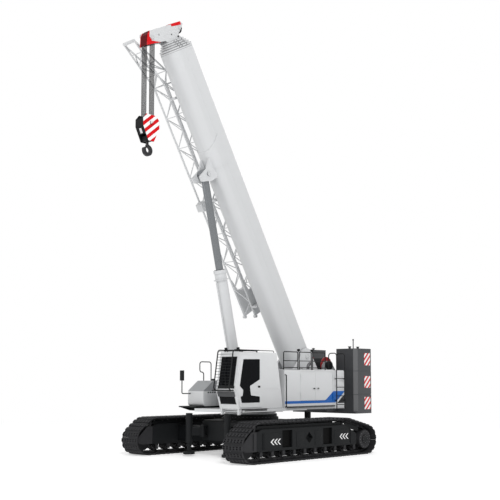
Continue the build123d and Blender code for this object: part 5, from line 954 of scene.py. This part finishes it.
# %% [markdown]
# ## Fly jib
# The stowed jib is a welded lattice of round tubes: four chords, laced on every side, that run
# together at the tip. A bay is laced the same way on the straight part and on the taper, only the
# places of its corners differ.
# %% Jib of round tubes
JIB_YS = (-1.19, -0.67)
JIB_VS = (-0.50, 0.08)
JIB_FOOT, JIB_STRAIGHT = 1.95, 10.40
JIB_TIP = (12.03, -1.03)
JIB_BAYS = 16
JIB_BAY = (JIB_STRAIGHT - JIB_FOOT) / JIB_BAYS
CHORD, TIP_CHORD, LACING, CROSS_TUBE = 0.033, 0.028, 0.017, 0.014


def on_straight(bays, v, y):
    return boom_place(JIB_FOOT + bays * JIB_BAY, v, y)


def on_taper(share, v, y):
    """A point part of the way from the end of the straight chords to the tip."""
    return boom_place(JIB_STRAIGHT, v, y).lerp(boom_place(*JIB_TIP, y), share)


tubes = []
for y in JIB_YS:
    for v in JIB_VS:
        tubes.append(strut(boom_place(JIB_FOOT, v, y), boom_place(JIB_STRAIGHT, v, y), CHORD))
        tubes.append(strut(boom_place(JIB_STRAIGHT, v, y), boom_place(*JIB_TIP, y), TIP_CHORD))
tubes.append(strut(boom_place(*JIB_TIP, JIB_YS[0]), boom_place(*JIB_TIP, JIB_YS[1]), 0.052, 20))
bays = [(on_straight, i, i + 1, i) for i in range(JIB_BAYS)]
bays += [(on_taper, i * 0.25, (i + 1) * 0.25, i) for i in range(3)]
for at, near, far, i in bays:
    first, second = (0, 1) if i % 2 == 0 else (1, 0)
    if at is on_taper or i > 1:
        for y in JIB_YS:
            tubes.append(strut(at(near, JIB_VS[first], y), at(far, JIB_VS[second], y), LACING, 8))
    for v in JIB_VS:
        tubes.append(strut(at(near, v, JIB_YS[first]), at(far, v, JIB_YS[second]), LACING, 8))
        if at is on_taper or i % 2:
            tubes.append(strut(at(far, v, JIB_YS[0]), at(far, v, JIB_YS[1]), CROSS_TUBE, 8))
for y in JIB_YS:
    tubes.append(strut(on_taper(0.0, JIB_VS[0], y), on_taper(0.0, JIB_VS[1], y), 0.02, 10))
lattice = lay_together("jib_tubes", tubes, jib_grey, "boom_base")
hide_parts("jib_lattice")

# %% [markdown]
# The jib's foot is closed by plate webs that fork into two arms along the chords, with lugs at
# their ends, and collars sit on the chords where brackets hold them.
# %% Jib foot
WEB_FRONT, WEB_WAIST = 3.35, 2.90
WEB_THICK, ARM_HIGH = 0.04, 0.15
webs = []
for y in JIB_YS:
    middle = boom_place((JIB_FOOT + WEB_WAIST) / 2, -0.21, y)
    web = take_block("web", middle, (WEB_WAIST - JIB_FOOT, WEB_THICK, 0.58), BOOM_TURN)
    pick_ends(web)
    draw_in((0.05, 0.0), (0.008, -0.006), each=True)
    webs.append(put_by(web))
    for chord_v, edge_v in ((JIB_VS[0], JIB_VS[0] + ARM_HIGH), (JIB_VS[1], JIB_VS[1] - ARM_HIGH)):
        middle = boom_place((WEB_WAIST + WEB_FRONT) / 2, (chord_v + edge_v) / 2, y)
        arm = take_block("arm", middle, (WEB_FRONT - WEB_WAIST, WEB_THICK, ARM_HIGH), BOOM_TURN)
        pick_facing(arm, ALONG)
        tip = boom_place(WEB_FRONT, chord_v, y)
        bpy.ops.transform.resize(value=(0.3, 1.0, 0.3), center_override=tip)
        webs.append(put_by(arm))
    for v in JIB_VS:
        place, steps = boom_place(JIB_FOOT - 0.02, v, y), ((0.03, 0.0), (0.004, -0.02))
        webs.append(turned("lug", place, SIDEWAYS, 0.062, 0.09, 24, *steps))
for u in (2.3, 6.3, 9.9):
    for v in JIB_VS:
        start, end = boom_place(u - 0.05, v, JIB_YS[1]), boom_place(u + 0.05, v, JIB_YS[1])
        webs.append(strut(start, end, 0.044, 20))
lay_together("jib_foot_webs", webs, jib_grey, "boom_base")

# %% [markdown]
# ## Hook
# A safety latch closes the hook's mouth, and a small plate sits low on each edge of the block.
# %% Latch and block fittings
COVER_LEAN = atan2(0.21, 0.44)
latch = take_block(
    "hook_latch", BLOCK_PIN + Vector((0.078, 0.0, -0.728)), (0.012, 0.05, 0.135),
    (0.0, radians(-52), 0.0),
)
ease_edges(0.004, 2)
lay_down(latch, bolt_steel, "hook")
for end_name, end in (("front", 1), ("rear", -1)):
    slot_plate = take_block(
        f"block_slot_{end_name}", BLOCK_PIN + Vector((end * 0.256, 0.0, -0.265)),
        (0.006, 0.10, 0.16), (0.0, end * COVER_LEAN, 0.0),
    )
    ease_edges(0.0025)
    pick_facing(slot_plate, (end, 0, 0), 0.8)
    draw_in((0.02, -0.001))
    lay_down(slot_plate, cab_white, "hook_block")

# %% [markdown]
# ## Cab front
# The windscreen leans back above the waist and the foot window leans in below it. A place on
# either plane is given by its height, its Y and how far it stands proud; the lean is the turn that
# a block needs to lie flat on the glass.
# %% Places on the cab's front
CAB_Y = 1.03
WAIST_X, WAIST_Z = 2.18, 2.15
SCREEN_LEAN = atan2(-0.20, 1.20)
FOOT_LEAN = atan2(0.18, 0.58)


def lean_at(z):
    return SCREEN_LEAN if z > WAIST_Z else FOOT_LEAN


def on_screen(z, y, proud):
    """A point on the windscreen's plane, or on the foot window's below the waist."""
    lean = lean_at(z)
    x = WAIST_X + (z - WAIST_Z) * sin(lean) / cos(lean) + proud * cos(lean)
    return Vector((x, y, z - proud * sin(lean)))


def screen_block(name, z, y, proud, width, height, thick):
    """A raw block that lies on the glass."""
    return take_block(
        name, on_screen(z, y, proud), (thick, width, height), (0.0, lean_at(z), 0.0)
    )


# %% [markdown]
# Rubber seals frame both windows, a black border hides the glue line under the windscreen, and a
# dark visor shades the foot window. The wiper is an arm on a boss, its blade held off the glass.
# %% Seals, visor and wiper
SEAL = 0.024
seals = []
for middle, half, high in ((2.74, 0.448, 0.92), (1.90, 0.168, 0.34)):
    for z, y, width, height in (
        (middle - half, CAB_Y, 0.70, SEAL), (middle + half, CAB_Y, 0.70, SEAL),
        (middle, 0.70, SEAL, high), (middle, 1.36, SEAL, high),
    ):
        seal = screen_block("seal", z, y, 0.004, width, height, 0.012)
        ease_edges(0.003)
        seals.append(put_by(seal))
lay_together("window_seals", seals, frame_black, "upper")

border = screen_block("screen_border", 2.245, CAB_Y, 0.003, 0.74, 0.075, 0.008)
ease_edges(0.002)
lay_down(border, frame_black, "upper")
visor = screen_block("foot_visor", 2.035, CAB_Y, 0.014, 0.76, 0.16, 0.022)
ease_edges(0.006, 2)
pick_facing(visor, (1, 0, 0))
draw_in((0.012, -0.004))
lay_down(visor, stack_grey, "upper")

lay_together("wiper", [
    strut(on_screen(2.30, CAB_Y, 0.0), on_screen(2.30, CAB_Y, 0.045), 0.024, 16),
    strut(on_screen(2.30, CAB_Y, 0.036), on_screen(2.74, 0.93, 0.030), 0.008, 8),
    strut(on_screen(2.44, 0.93, 0.020), on_screen(3.04, 0.93, 0.020), 0.007, 8),
], frame_black, "upper")

# %% [markdown]
# The screen guard ends in a foot bar across the front. On the roof a cross beam carries the lamps
# and a side beam thickens the guard's left tube. Under the cab a light skirt covers the deck's
# edge at the left and in front; a long dark strip on each face is painted shade for a slot.
# %% Guard bars and deck skirt
ROOF_BAR_Z = 3.402
SKIRT_Z, SKIRT_HIGH = 1.512, 0.100
lay_together("guard_bars", [
    strut((2.358, 0.615, 2.145), (2.358, 1.445, 2.145), 0.022, 16),
    eased_block("guard_bar", (1.90, 1.00, ROOF_BAR_Z), (0.05, 0.62, 0.045), 0.008, steps=2),
    eased_block("guard_bar", (1.47, 1.262, ROOF_BAR_Z), (0.90, 0.05, 0.045), 0.008, steps=2),
], frame_black, "upper")
lay_blocks("deck_skirts", (
    ((0.90, 1.464, SKIRT_Z), (1.94, 0.010, SKIRT_HIGH)),
    ((1.884, CAB_Y, SKIRT_Z), (0.010, 0.84, SKIRT_HIGH)),
), 0.003, cab_white)
# Dark strips on the skirts: painted shade where the slots are.
lay_blocks("skirt_slot_shade", (
    ((1.26, 1.469, SKIRT_Z), (1.02, 0.008, 0.032)),
    ((1.889, CAB_Y, SKIRT_Z), (0.008, 0.62, 0.022)),
), 0.003, stack_grey)

# %% [markdown]
# Work lamps light the hook at night. A lamp is a housing with a stepped rim round a sunk lens, on
# a short bracket. They stand at both corners of the cab roof and on the handrail.
# %% Work lamps
WORK_LAMPS = (
    ("work_lamp_left", (1.90, 1.30, 3.40), 18), ("work_lamp_right", (1.90, 0.76, 3.40), 18),
    ("rail_lamp_front", (-0.825, 1.433, 3.41), 10), ("rail_lamp_rear", (-1.515, 1.433, 3.41), 10),
)
for name, (x, y, z), degrees in WORK_LAMPS:
    lean = radians(degrees)
    housing = take_block(name, (x, y, z + 0.055), (0.06, 0.09, 0.075), (0, lean, 0))
    ease_edges(0.008, 2)
    pick_facing(housing, (cos(lean), 0.0, -sin(lean)), 0.99)
    draw_in((0.007, 0.004), (0.005, -0.014))
    put_by(housing)
    stem = strut((x, y, z - 0.02), (x, y, z + 0.03), 0.012)
    lay_together(name, [housing, stem], frame_black, "upper")

# %% [markdown]
# The cab door slides, so its handle is a pull cup: a frame with a sunk pocket. The service doors
# have paddle latches. Each rides on its own door.
# %% Handles and latches
for name, (x, y, z), length, height, body in (
    ("door_pull", (1.155, 1.495, 2.26), 0.10, 0.06, "cab_door"),
    ("front_latch", (-1.515, 1.530, 2.185), 0.074, 0.036, "service_door_front"),
    ("rear_latch", (-1.725, 1.530, 2.185), 0.074, 0.036, "service_door_rear"),
):
    steps = ((height * 0.14, 0.002), (height * 0.12, -0.007))
    latch = faced(name, (x, y + 0.004, z), (length, 0.012, height), SIDEWAYS, *steps)
    lay_down(latch, frame_black, body)

# %% [markdown]
# ## Engine house
# Warm air leaves through louvres on the right. A louvre bank is a frame with slats leaned outward,
# one slat made and copied at a pitch, in front of a thin back plate.
# %% Louvres
HOUSE_SIDE_Y = 1.5
LOUVRE_Z, LOUVRE_LONG, LOUVRE_HIGH = 2.18, 0.60, 0.62
SLATS = 12
SLAT_PITCH = LOUVRE_HIGH / SLATS
FRAME_Y = -HOUSE_SIDE_Y - 0.010
for bank, x in enumerate((-2.65, -1.89, -1.13)):
    slat = eased_block(
        "slat", (x, FRAME_Y, LOUVRE_Z - LOUVRE_HIGH / 2 + SLAT_PITCH / 2),
        (LOUVRE_LONG, 0.022, SLAT_PITCH * 0.32), 0.002, (radians(38), 0.0, 0.0),
    )
    rows = [spread("slats", slat, [shift(0.0, 0.0, SLAT_PITCH * i) for i in range(SLATS)])]
    for edge in (-1, 1):
        place = (x, FRAME_Y, LOUVRE_Z + edge * (LOUVRE_HIGH / 2 + 0.012))
        rows.append(eased_block("frame", place, (LOUVRE_LONG + 0.05, 0.022, 0.024), 0.004))
        place = (x + edge * (LOUVRE_LONG / 2 + 0.013), FRAME_Y, LOUVRE_Z)
        rows.append(eased_block("frame", place, (0.024, 0.022, LOUVRE_HIGH + 0.024), 0.004))
    place = (x, -HOUSE_SIDE_Y - 0.002, LOUVRE_Z)
    rows.append(eased_block("back", place, (LOUVRE_LONG, 0.004, LOUVRE_HIGH), 0.001))
    lay_together(f"right_louvres_{bank + 1}", rows, frame_black, "upper")

# %% [markdown]
# A dark edge and a step rail on short stays run along the sill on the left. The tank box on the
# right has a row of black blocks: painted shade for its vent openings.
# %% Sill edge, step rail and painted shade for the tank vents
STEP_Y, STEP_Z = 1.545, 1.585
lay_blocks("sill_edge", [((-2.16, 1.502, 1.484), (2.00, 0.010, 0.026))], 0.003, stack_grey)
rail = [strut((-0.12, STEP_Y, STEP_Z), (-2.58, STEP_Y, STEP_Z), 0.026, 20)]
for x in (-0.30, -1.05, -1.80, -2.45):
    rail.append(eased_block("stay", (x, HOUSE_SIDE_Y, STEP_Z), (0.05, 0.090, 0.030), 0.004))
lay_together("step_rail", rail, stack_grey, "upper")

# Black blocks on the tank box: painted shade for the vent openings.
vent_slot_shades = [((1.37 - 0.10 * i, -0.617, 2.06), (0.06, 0.010, 0.05)) for i in range(6)]
lay_blocks("tank_vent_shade", vent_slot_shades, 0.003, frame_black)

# %% [markdown]
# The roof has three hatches with bent grips, and the exhaust leaves through it: a bent pipe that
# stands in a flange.
# %% Hatches and exhaust
HATCHES = ((-0.62, 1.06, 0.90, 0.60), (-1.62, 1.06, 0.90, 0.60), (-2.55, 1.02, 0.70, 0.52))
GRIP = ((-0.07, 2.82), (-0.07, 2.86), (0.07, 2.86), (0.07, 2.82))
EXHAUST_X, EXHAUST_Y = -2.05, 0.80
for i, (x, y, length, width) in enumerate(HATCHES):
    steps = ((0.014, 0.006), (0.030, 0.0), (0.004, -0.003))
    name, place = f"roof_hatch_{i + 1}", (x, y, 2.816)
    lay_down(faced(name, place, (length, width, 0.020), UPWARD, *steps), cab_white, "upper")
    path = [(x + ahead, y - width / 3, z) for ahead, z in GRIP]
    lay_tube(f"hatch_grip_{i + 1}", path, 0.007, frame_black, "upper", rounding=0.02)
path = [(EXHAUST_X, EXHAUST_Y, 2.80), (EXHAUST_X, EXHAUST_Y, 2.99), (-2.17, EXHAUST_Y, 3.05)]
lay_tube("exhaust_pipe", path, 0.055, bolt_steel, "upper", 24, 0.09)
place, step = (EXHAUST_X, EXHAUST_Y, 2.817), (0.012, 0.004)
flange = turned("exhaust_flange", place, UPWARD, 0.095, 0.016, 32, step, outer=UPWARD)
lay_down(flange, frame_black, "upper")

# %% [markdown]
# ## Winches
# Rope lies on a drum in even turns, layer on layer. Only the top layer shows, so it is modelled as
# a row of rings, each a thin disc whose rim is drawn out to a rounded crown.
# %% Rope on the drums and winch drives
TURNS = 30
TURN_PITCH = 0.022
for drum, x, z, full in (("main", -3.78, 2.23, 0.33), ("aux", -3.60, 3.00, 0.262)):
    turn = take_round("turn", (x, -0.319, z), SIDEWAYS, full, TURN_PITCH, 36)
    pick_rim(turn)
    draw_in((0.004, 0.007), (0.004, 0.003))
    places = [shift(0.0, TURN_PITCH * i, 0.0) for i in range(TURNS)]
    coil = spread(f"rope_on_{drum}_drum", put_by(turn), places)
    lay_down(coil, rope_lay, f"winch_drum_{drum}")
    for side_name, side in SIDES:
        name, place, way = f"{drum}_winch_drive_{side_name}", (x, side * 0.485, z), (0, side, 0)
        steps = ((0.012, 0.006), (0.045, 0.0), (0.006, 0.022))
        motor = turned(name, place, SIDEWAYS, 0.15, 0.11, 36, *steps, outer=way)
        lay_down(motor, frame_black, "upper")
        name, place = f"{drum}_drive_bolts_{side_name}", (x, side * 0.546, z)
        bolt_ring(name, place, way, 0.118, 10, 0.011, 0.010, "upper")

# %% [markdown]
# ## Counterweight
# The stacked slabs are dark grey. A lighter strip on the chamfered front corner is a painted
# highlight, where that face catches more light, and three striped plates on each side warn of the
# swinging tail.
# %% Warning plates and painted highlight strips on the corners
for side_name, side in SIDES:
    plates = []
    for z, height in ((3.22, 0.44), (2.40, 0.42), (1.64, 0.44)):
        place, size = (-4.525, side * 1.503, z), (0.35, 0.006, height)
        plates.append(faced("plate", place, size, (0, side, 0), (0.004, 0.002)))
    lay_together(f"warning_plates_{side_name}", plates, warning_stripes, "upper")
    highlight_strips = [
        ((-3.912, side * 1.443, (low + high) / 2), (0.006, 0.166, high - low))
        for low, high in ((1.35, 1.942), (1.958, 2.782), (2.798, 3.59))
    ]
    turn = (0.0, 0.0, side * radians(45))
    lay_blocks(f"chamfer_highlight_strips_{side_name}", highlight_strips, 0.002, chamfer_highlight_grey, turn)

# %% [markdown]
# ## Boom plates
# The boom's two bent shells meet half-way up its sides in a long weld that stands a bit proud.
# %% Welds
for side_name, side in SIDES:
    seam = [boom_place(u, -0.14, side * 0.39) for u in (0.95, 11.2)]
    lay_tube(f"boom_weld_{side_name}", seam, 0.005, boom_grey, "boom_base", 8)

# %% [markdown]
# ## Falls of rope
# Ten falls of rope carry the block. Wire rope is six strands laid round a core, so its section is
# a six-lobed outline that turns as it climbs: a circle of twelve points, drawn in at every second
# one. A Screw modifier lifts and turns it up the whole fall, and the fall is copied to ten places.
# %% Laid rope between head and block
LAY_LENGTH = 0.15
LAY_STEPS = 8
FALL_RADIUS = ROPE_RADIUS + 0.003
clear_bench()
bpy.ops.mesh.primitive_circle_add(vertices=12, radius=FALL_RADIUS, location=LEVEL)
fall = in_hand("fall")
bpy.ops.mesh.select_mode(type="VERT")
outline = bmesh.from_edit_mesh(fall.data)
outline.verts.ensure_lookup_table()
for corner in outline.verts:
    corner.select_set(corner.index % 2 == 0)
bmesh.update_edit_mesh(fall.data)
bpy.ops.transform.resize(value=(0.84, 0.84, 1.0), center_override=LEVEL)
put_by(fall)
twist = fall.modifiers.new("lay", "SCREW")
twist.angle = 2 * pi * FALL_LENGTH / LAY_LENGTH
twist.screw_offset = FALL_LENGTH
twist.steps = round(FALL_LENGTH / LAY_LENGTH * LAY_STEPS)
twist.render_steps = twist.steps
twist.use_smooth_shade = False
bpy.ops.object.modifier_apply(modifier="lay")
bpy.ops.object.mode_set(mode="EDIT")
bpy.ops.mesh.select_all(action="SELECT")
bpy.ops.mesh.fill_holes(sides=0)
bpy.ops.mesh.select_all(action="SELECT")
bpy.ops.mesh.normals_make_consistent(inside=False)
put_by(fall)
places = [
    shift(BLOCK_PIN.x + side * (ROPE_PATH + 0.0003), y, BLOCK_PIN.z)
    for side in (-1, 1) for y in SHEAVE_YS
]
falls = lay_down(spread("rope_falls", fall, places), rope_lay, smooth=50.0)
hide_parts("hoist_falls")
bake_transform(falls)
print("falls", len(falls.data.polygons), "faces")

# %% [markdown]
# ## Red guards on the head
# A bent guard keeps the rope on the crown sheave: its top is a flat strip, and a skirt folds down
# on each side. Beside the head sits a small tugger sheave on a stub, for reeving the rope.
# %% Crown guard skirts and tugger sheave
EDGE_LOW = boom_place(HEAD_U + 0.190, HEAD_V + 0.800)
EDGE_HIGH = boom_place(HEAD_U + 0.165, HEAD_V + 1.430)
edge_way = (EDGE_HIGH - EDGE_LOW).normalized()
inward = Vector((-edge_way.z, 0.0, edge_way.x))
if inward.dot(ALONG) > 0:
    inward = -inward
for side_name, side in SIDES:
    middle = EDGE_HIGH - edge_way * 0.235 + inward * 0.046 + Vector((0.0, side * 0.184, 0.0))
    turn = (0.0, -atan2(edge_way.z, edge_way.x), 0.0)
    skirt = take_block(f"crown_skirt_{side_name}", middle, (0.44, 0.008, 0.10), turn)
    pick_facing(skirt, -edge_way)
    fold = middle - edge_way * 0.22 - inward * 0.05
    bpy.ops.transform.resize(value=(0.7, 1.0, 0.7), center_override=fold)
    ease_edges(0.002)
    lay_down(skirt, signal_red, "boom_section_5")

stub = HEAD_PIN + Vector((0.02, 0.0, 0.16))
arm = strut(stub + Vector((0.0, -0.178, 0.0)), stub + Vector((0.0, -0.335, 0.0)), 0.018, 16)
wheel = take_round("wheel", stub + Vector((0.0, -0.315, 0.0)), SIDEWAYS, 0.075, 0.03, 28)
pick_rim(wheel)
draw_in((0.005, -0.010))
pick_ends(wheel)
draw_in((0.018, -0.004), each=True)
lay_together("tugger_sheave", [arm, put_by(wheel)], boom_grey, "boom_section_5")

# %% [markdown]
# ## Tank fittings
# Fuel and oil are filled through caps on the tank's hood. A cap is a disc whose top is drawn in
# twice and raised to a grip.
# %% Filler caps
caps = []
for x, y, radius in ((0.60, -1.20, 0.062), (0.20, -1.25, 0.075), (-0.25, -0.95, 0.05)):
    steps = ((radius * 0.15, 0.008), (radius * 0.5, 0.0), (radius * 0.08, 0.010))
    place = (x, y, 2.475)
    caps.append(turned("cap", place, UPWARD, radius, 0.05, 24, *steps, outer=UPWARD))
lay_together("filler_caps", caps, frame_black, "upper")

# %% [markdown]
# ## Studio
# A white floor that fades into a white background. The camera, and what it sees mirrored or
# through glass, gets pure white behind the crane, and the floor keeps a soft shadow near it.
# %% Floor
FLOOR_NEAR, FLOOR_FAR = 9.0, 26.0
FLOOR_GLOW = 0.42
SEEING_RAYS = ("Is Camera Ray", "Is Glossy Ray", "Is Transmission Ray")


def glow(tree, kind, strength):
    """A white light source in a node tree."""
    made = tree.nodes.new(kind)
    made.inputs["Color"].default_value = (1.0, 1.0, 1.0, 1.0)
    made.inputs["Strength"].default_value = strength
    return made.outputs[0]


def show_mix(tree, share, first, second, output):
    """Mixes two shaders by a share and shows the mix on the tree's output."""
    blend = tree.nodes.new("ShaderNodeMixShader")
    for socket, source in zip(blend.inputs, (share, first, second)):
        tree.links.new(source, socket)
    tree.links.new(blend.outputs[0], tree.nodes[output].inputs["Surface"])


bpy.ops.mesh.primitive_plane_add(size=240.0, location=LEVEL)
floor = bpy.context.active_object
floor.name = "studio_floor"
white = Finish("studio_white", Roughness=0.9, Base_Color=(0.9, 0.9, 0.9, 1.0))
reach = (white.x * white.x + white.y * white.y).root()
eye, mirror, pane = [white.node("ShaderNodeLightPath", {}, {}, kind) for kind in SEEING_RAYS]
away = ((reach - FLOOR_NEAR) / (FLOOR_FAR - FLOOR_NEAR)).clamp() * (eye + mirror + pane).clamp()
lit = white.tree.nodes.new("ShaderNodeAddShader")
white.tree.links.new(white.shader.outputs[0], lit.inputs[0])
white.tree.links.new(glow(white.tree, "ShaderNodeEmission", FLOOR_GLOW), lit.inputs[1])
far_white = glow(white.tree, "ShaderNodeEmission", 1.0)
show_mix(white.tree, away.socket, lit.outputs[0], far_white, "Material Output")
floor.data.materials.append(white.material)

# %% [markdown]
# The world lights the crane softly with half the strength that it shows, and three large square
# lamps shape it: a key from the front left, a weak fill and a weak rim light from behind.
# %% World and lamps
WORLD_LIGHT = 0.50
AIM = Vector((0.0, 0.0, 5.0))
LAMPS = (
    ("key_lamp", (17.0, 25.0, 26.0), 9.0, 5100.0),
    ("fill_lamp", (28.0, -8.0, 12.0), 12.0, 700.0),
    ("rim_lamp", (-22.0, -10.0, 22.0), 10.0, 900.0),
)
world = bpy.data.worlds.new("studio")
bpy.context.scene.world = world
world.use_nodes = True
tree = world.node_tree
rays = tree.nodes.new("ShaderNodeLightPath")
seeing = rays.outputs[SEEING_RAYS[0]]
for kind in SEEING_RAYS[1:]:
    either = tree.nodes.new("ShaderNodeMath")
    either.operation = "MAXIMUM"
    tree.links.new(seeing, either.inputs[0])
    tree.links.new(rays.outputs[kind], either.inputs[1])
    seeing = either.outputs[0]
lighting, seen = [glow(tree, "ShaderNodeBackground", strength) for strength in (WORLD_LIGHT, 1.0)]
show_mix(tree, seeing, lighting, seen, "World Output")

for name, place, breadth, power in LAMPS:
    light = bpy.data.lights.new(name, "AREA")
    light.shape = "SQUARE"
    light.size = breadth
    light.energy = power
    lamp = bpy.data.objects.new(name, light)
    bpy.context.scene.collection.objects.link(lamp)
    lamp.location = place
    lamp.rotation_mode = "QUATERNION"
    lamp.rotation_quaternion = (AIM - Vector(place)).to_track_quat("-Z", "Y")
bpy.context.scene.view_settings.view_transform = "Standard"
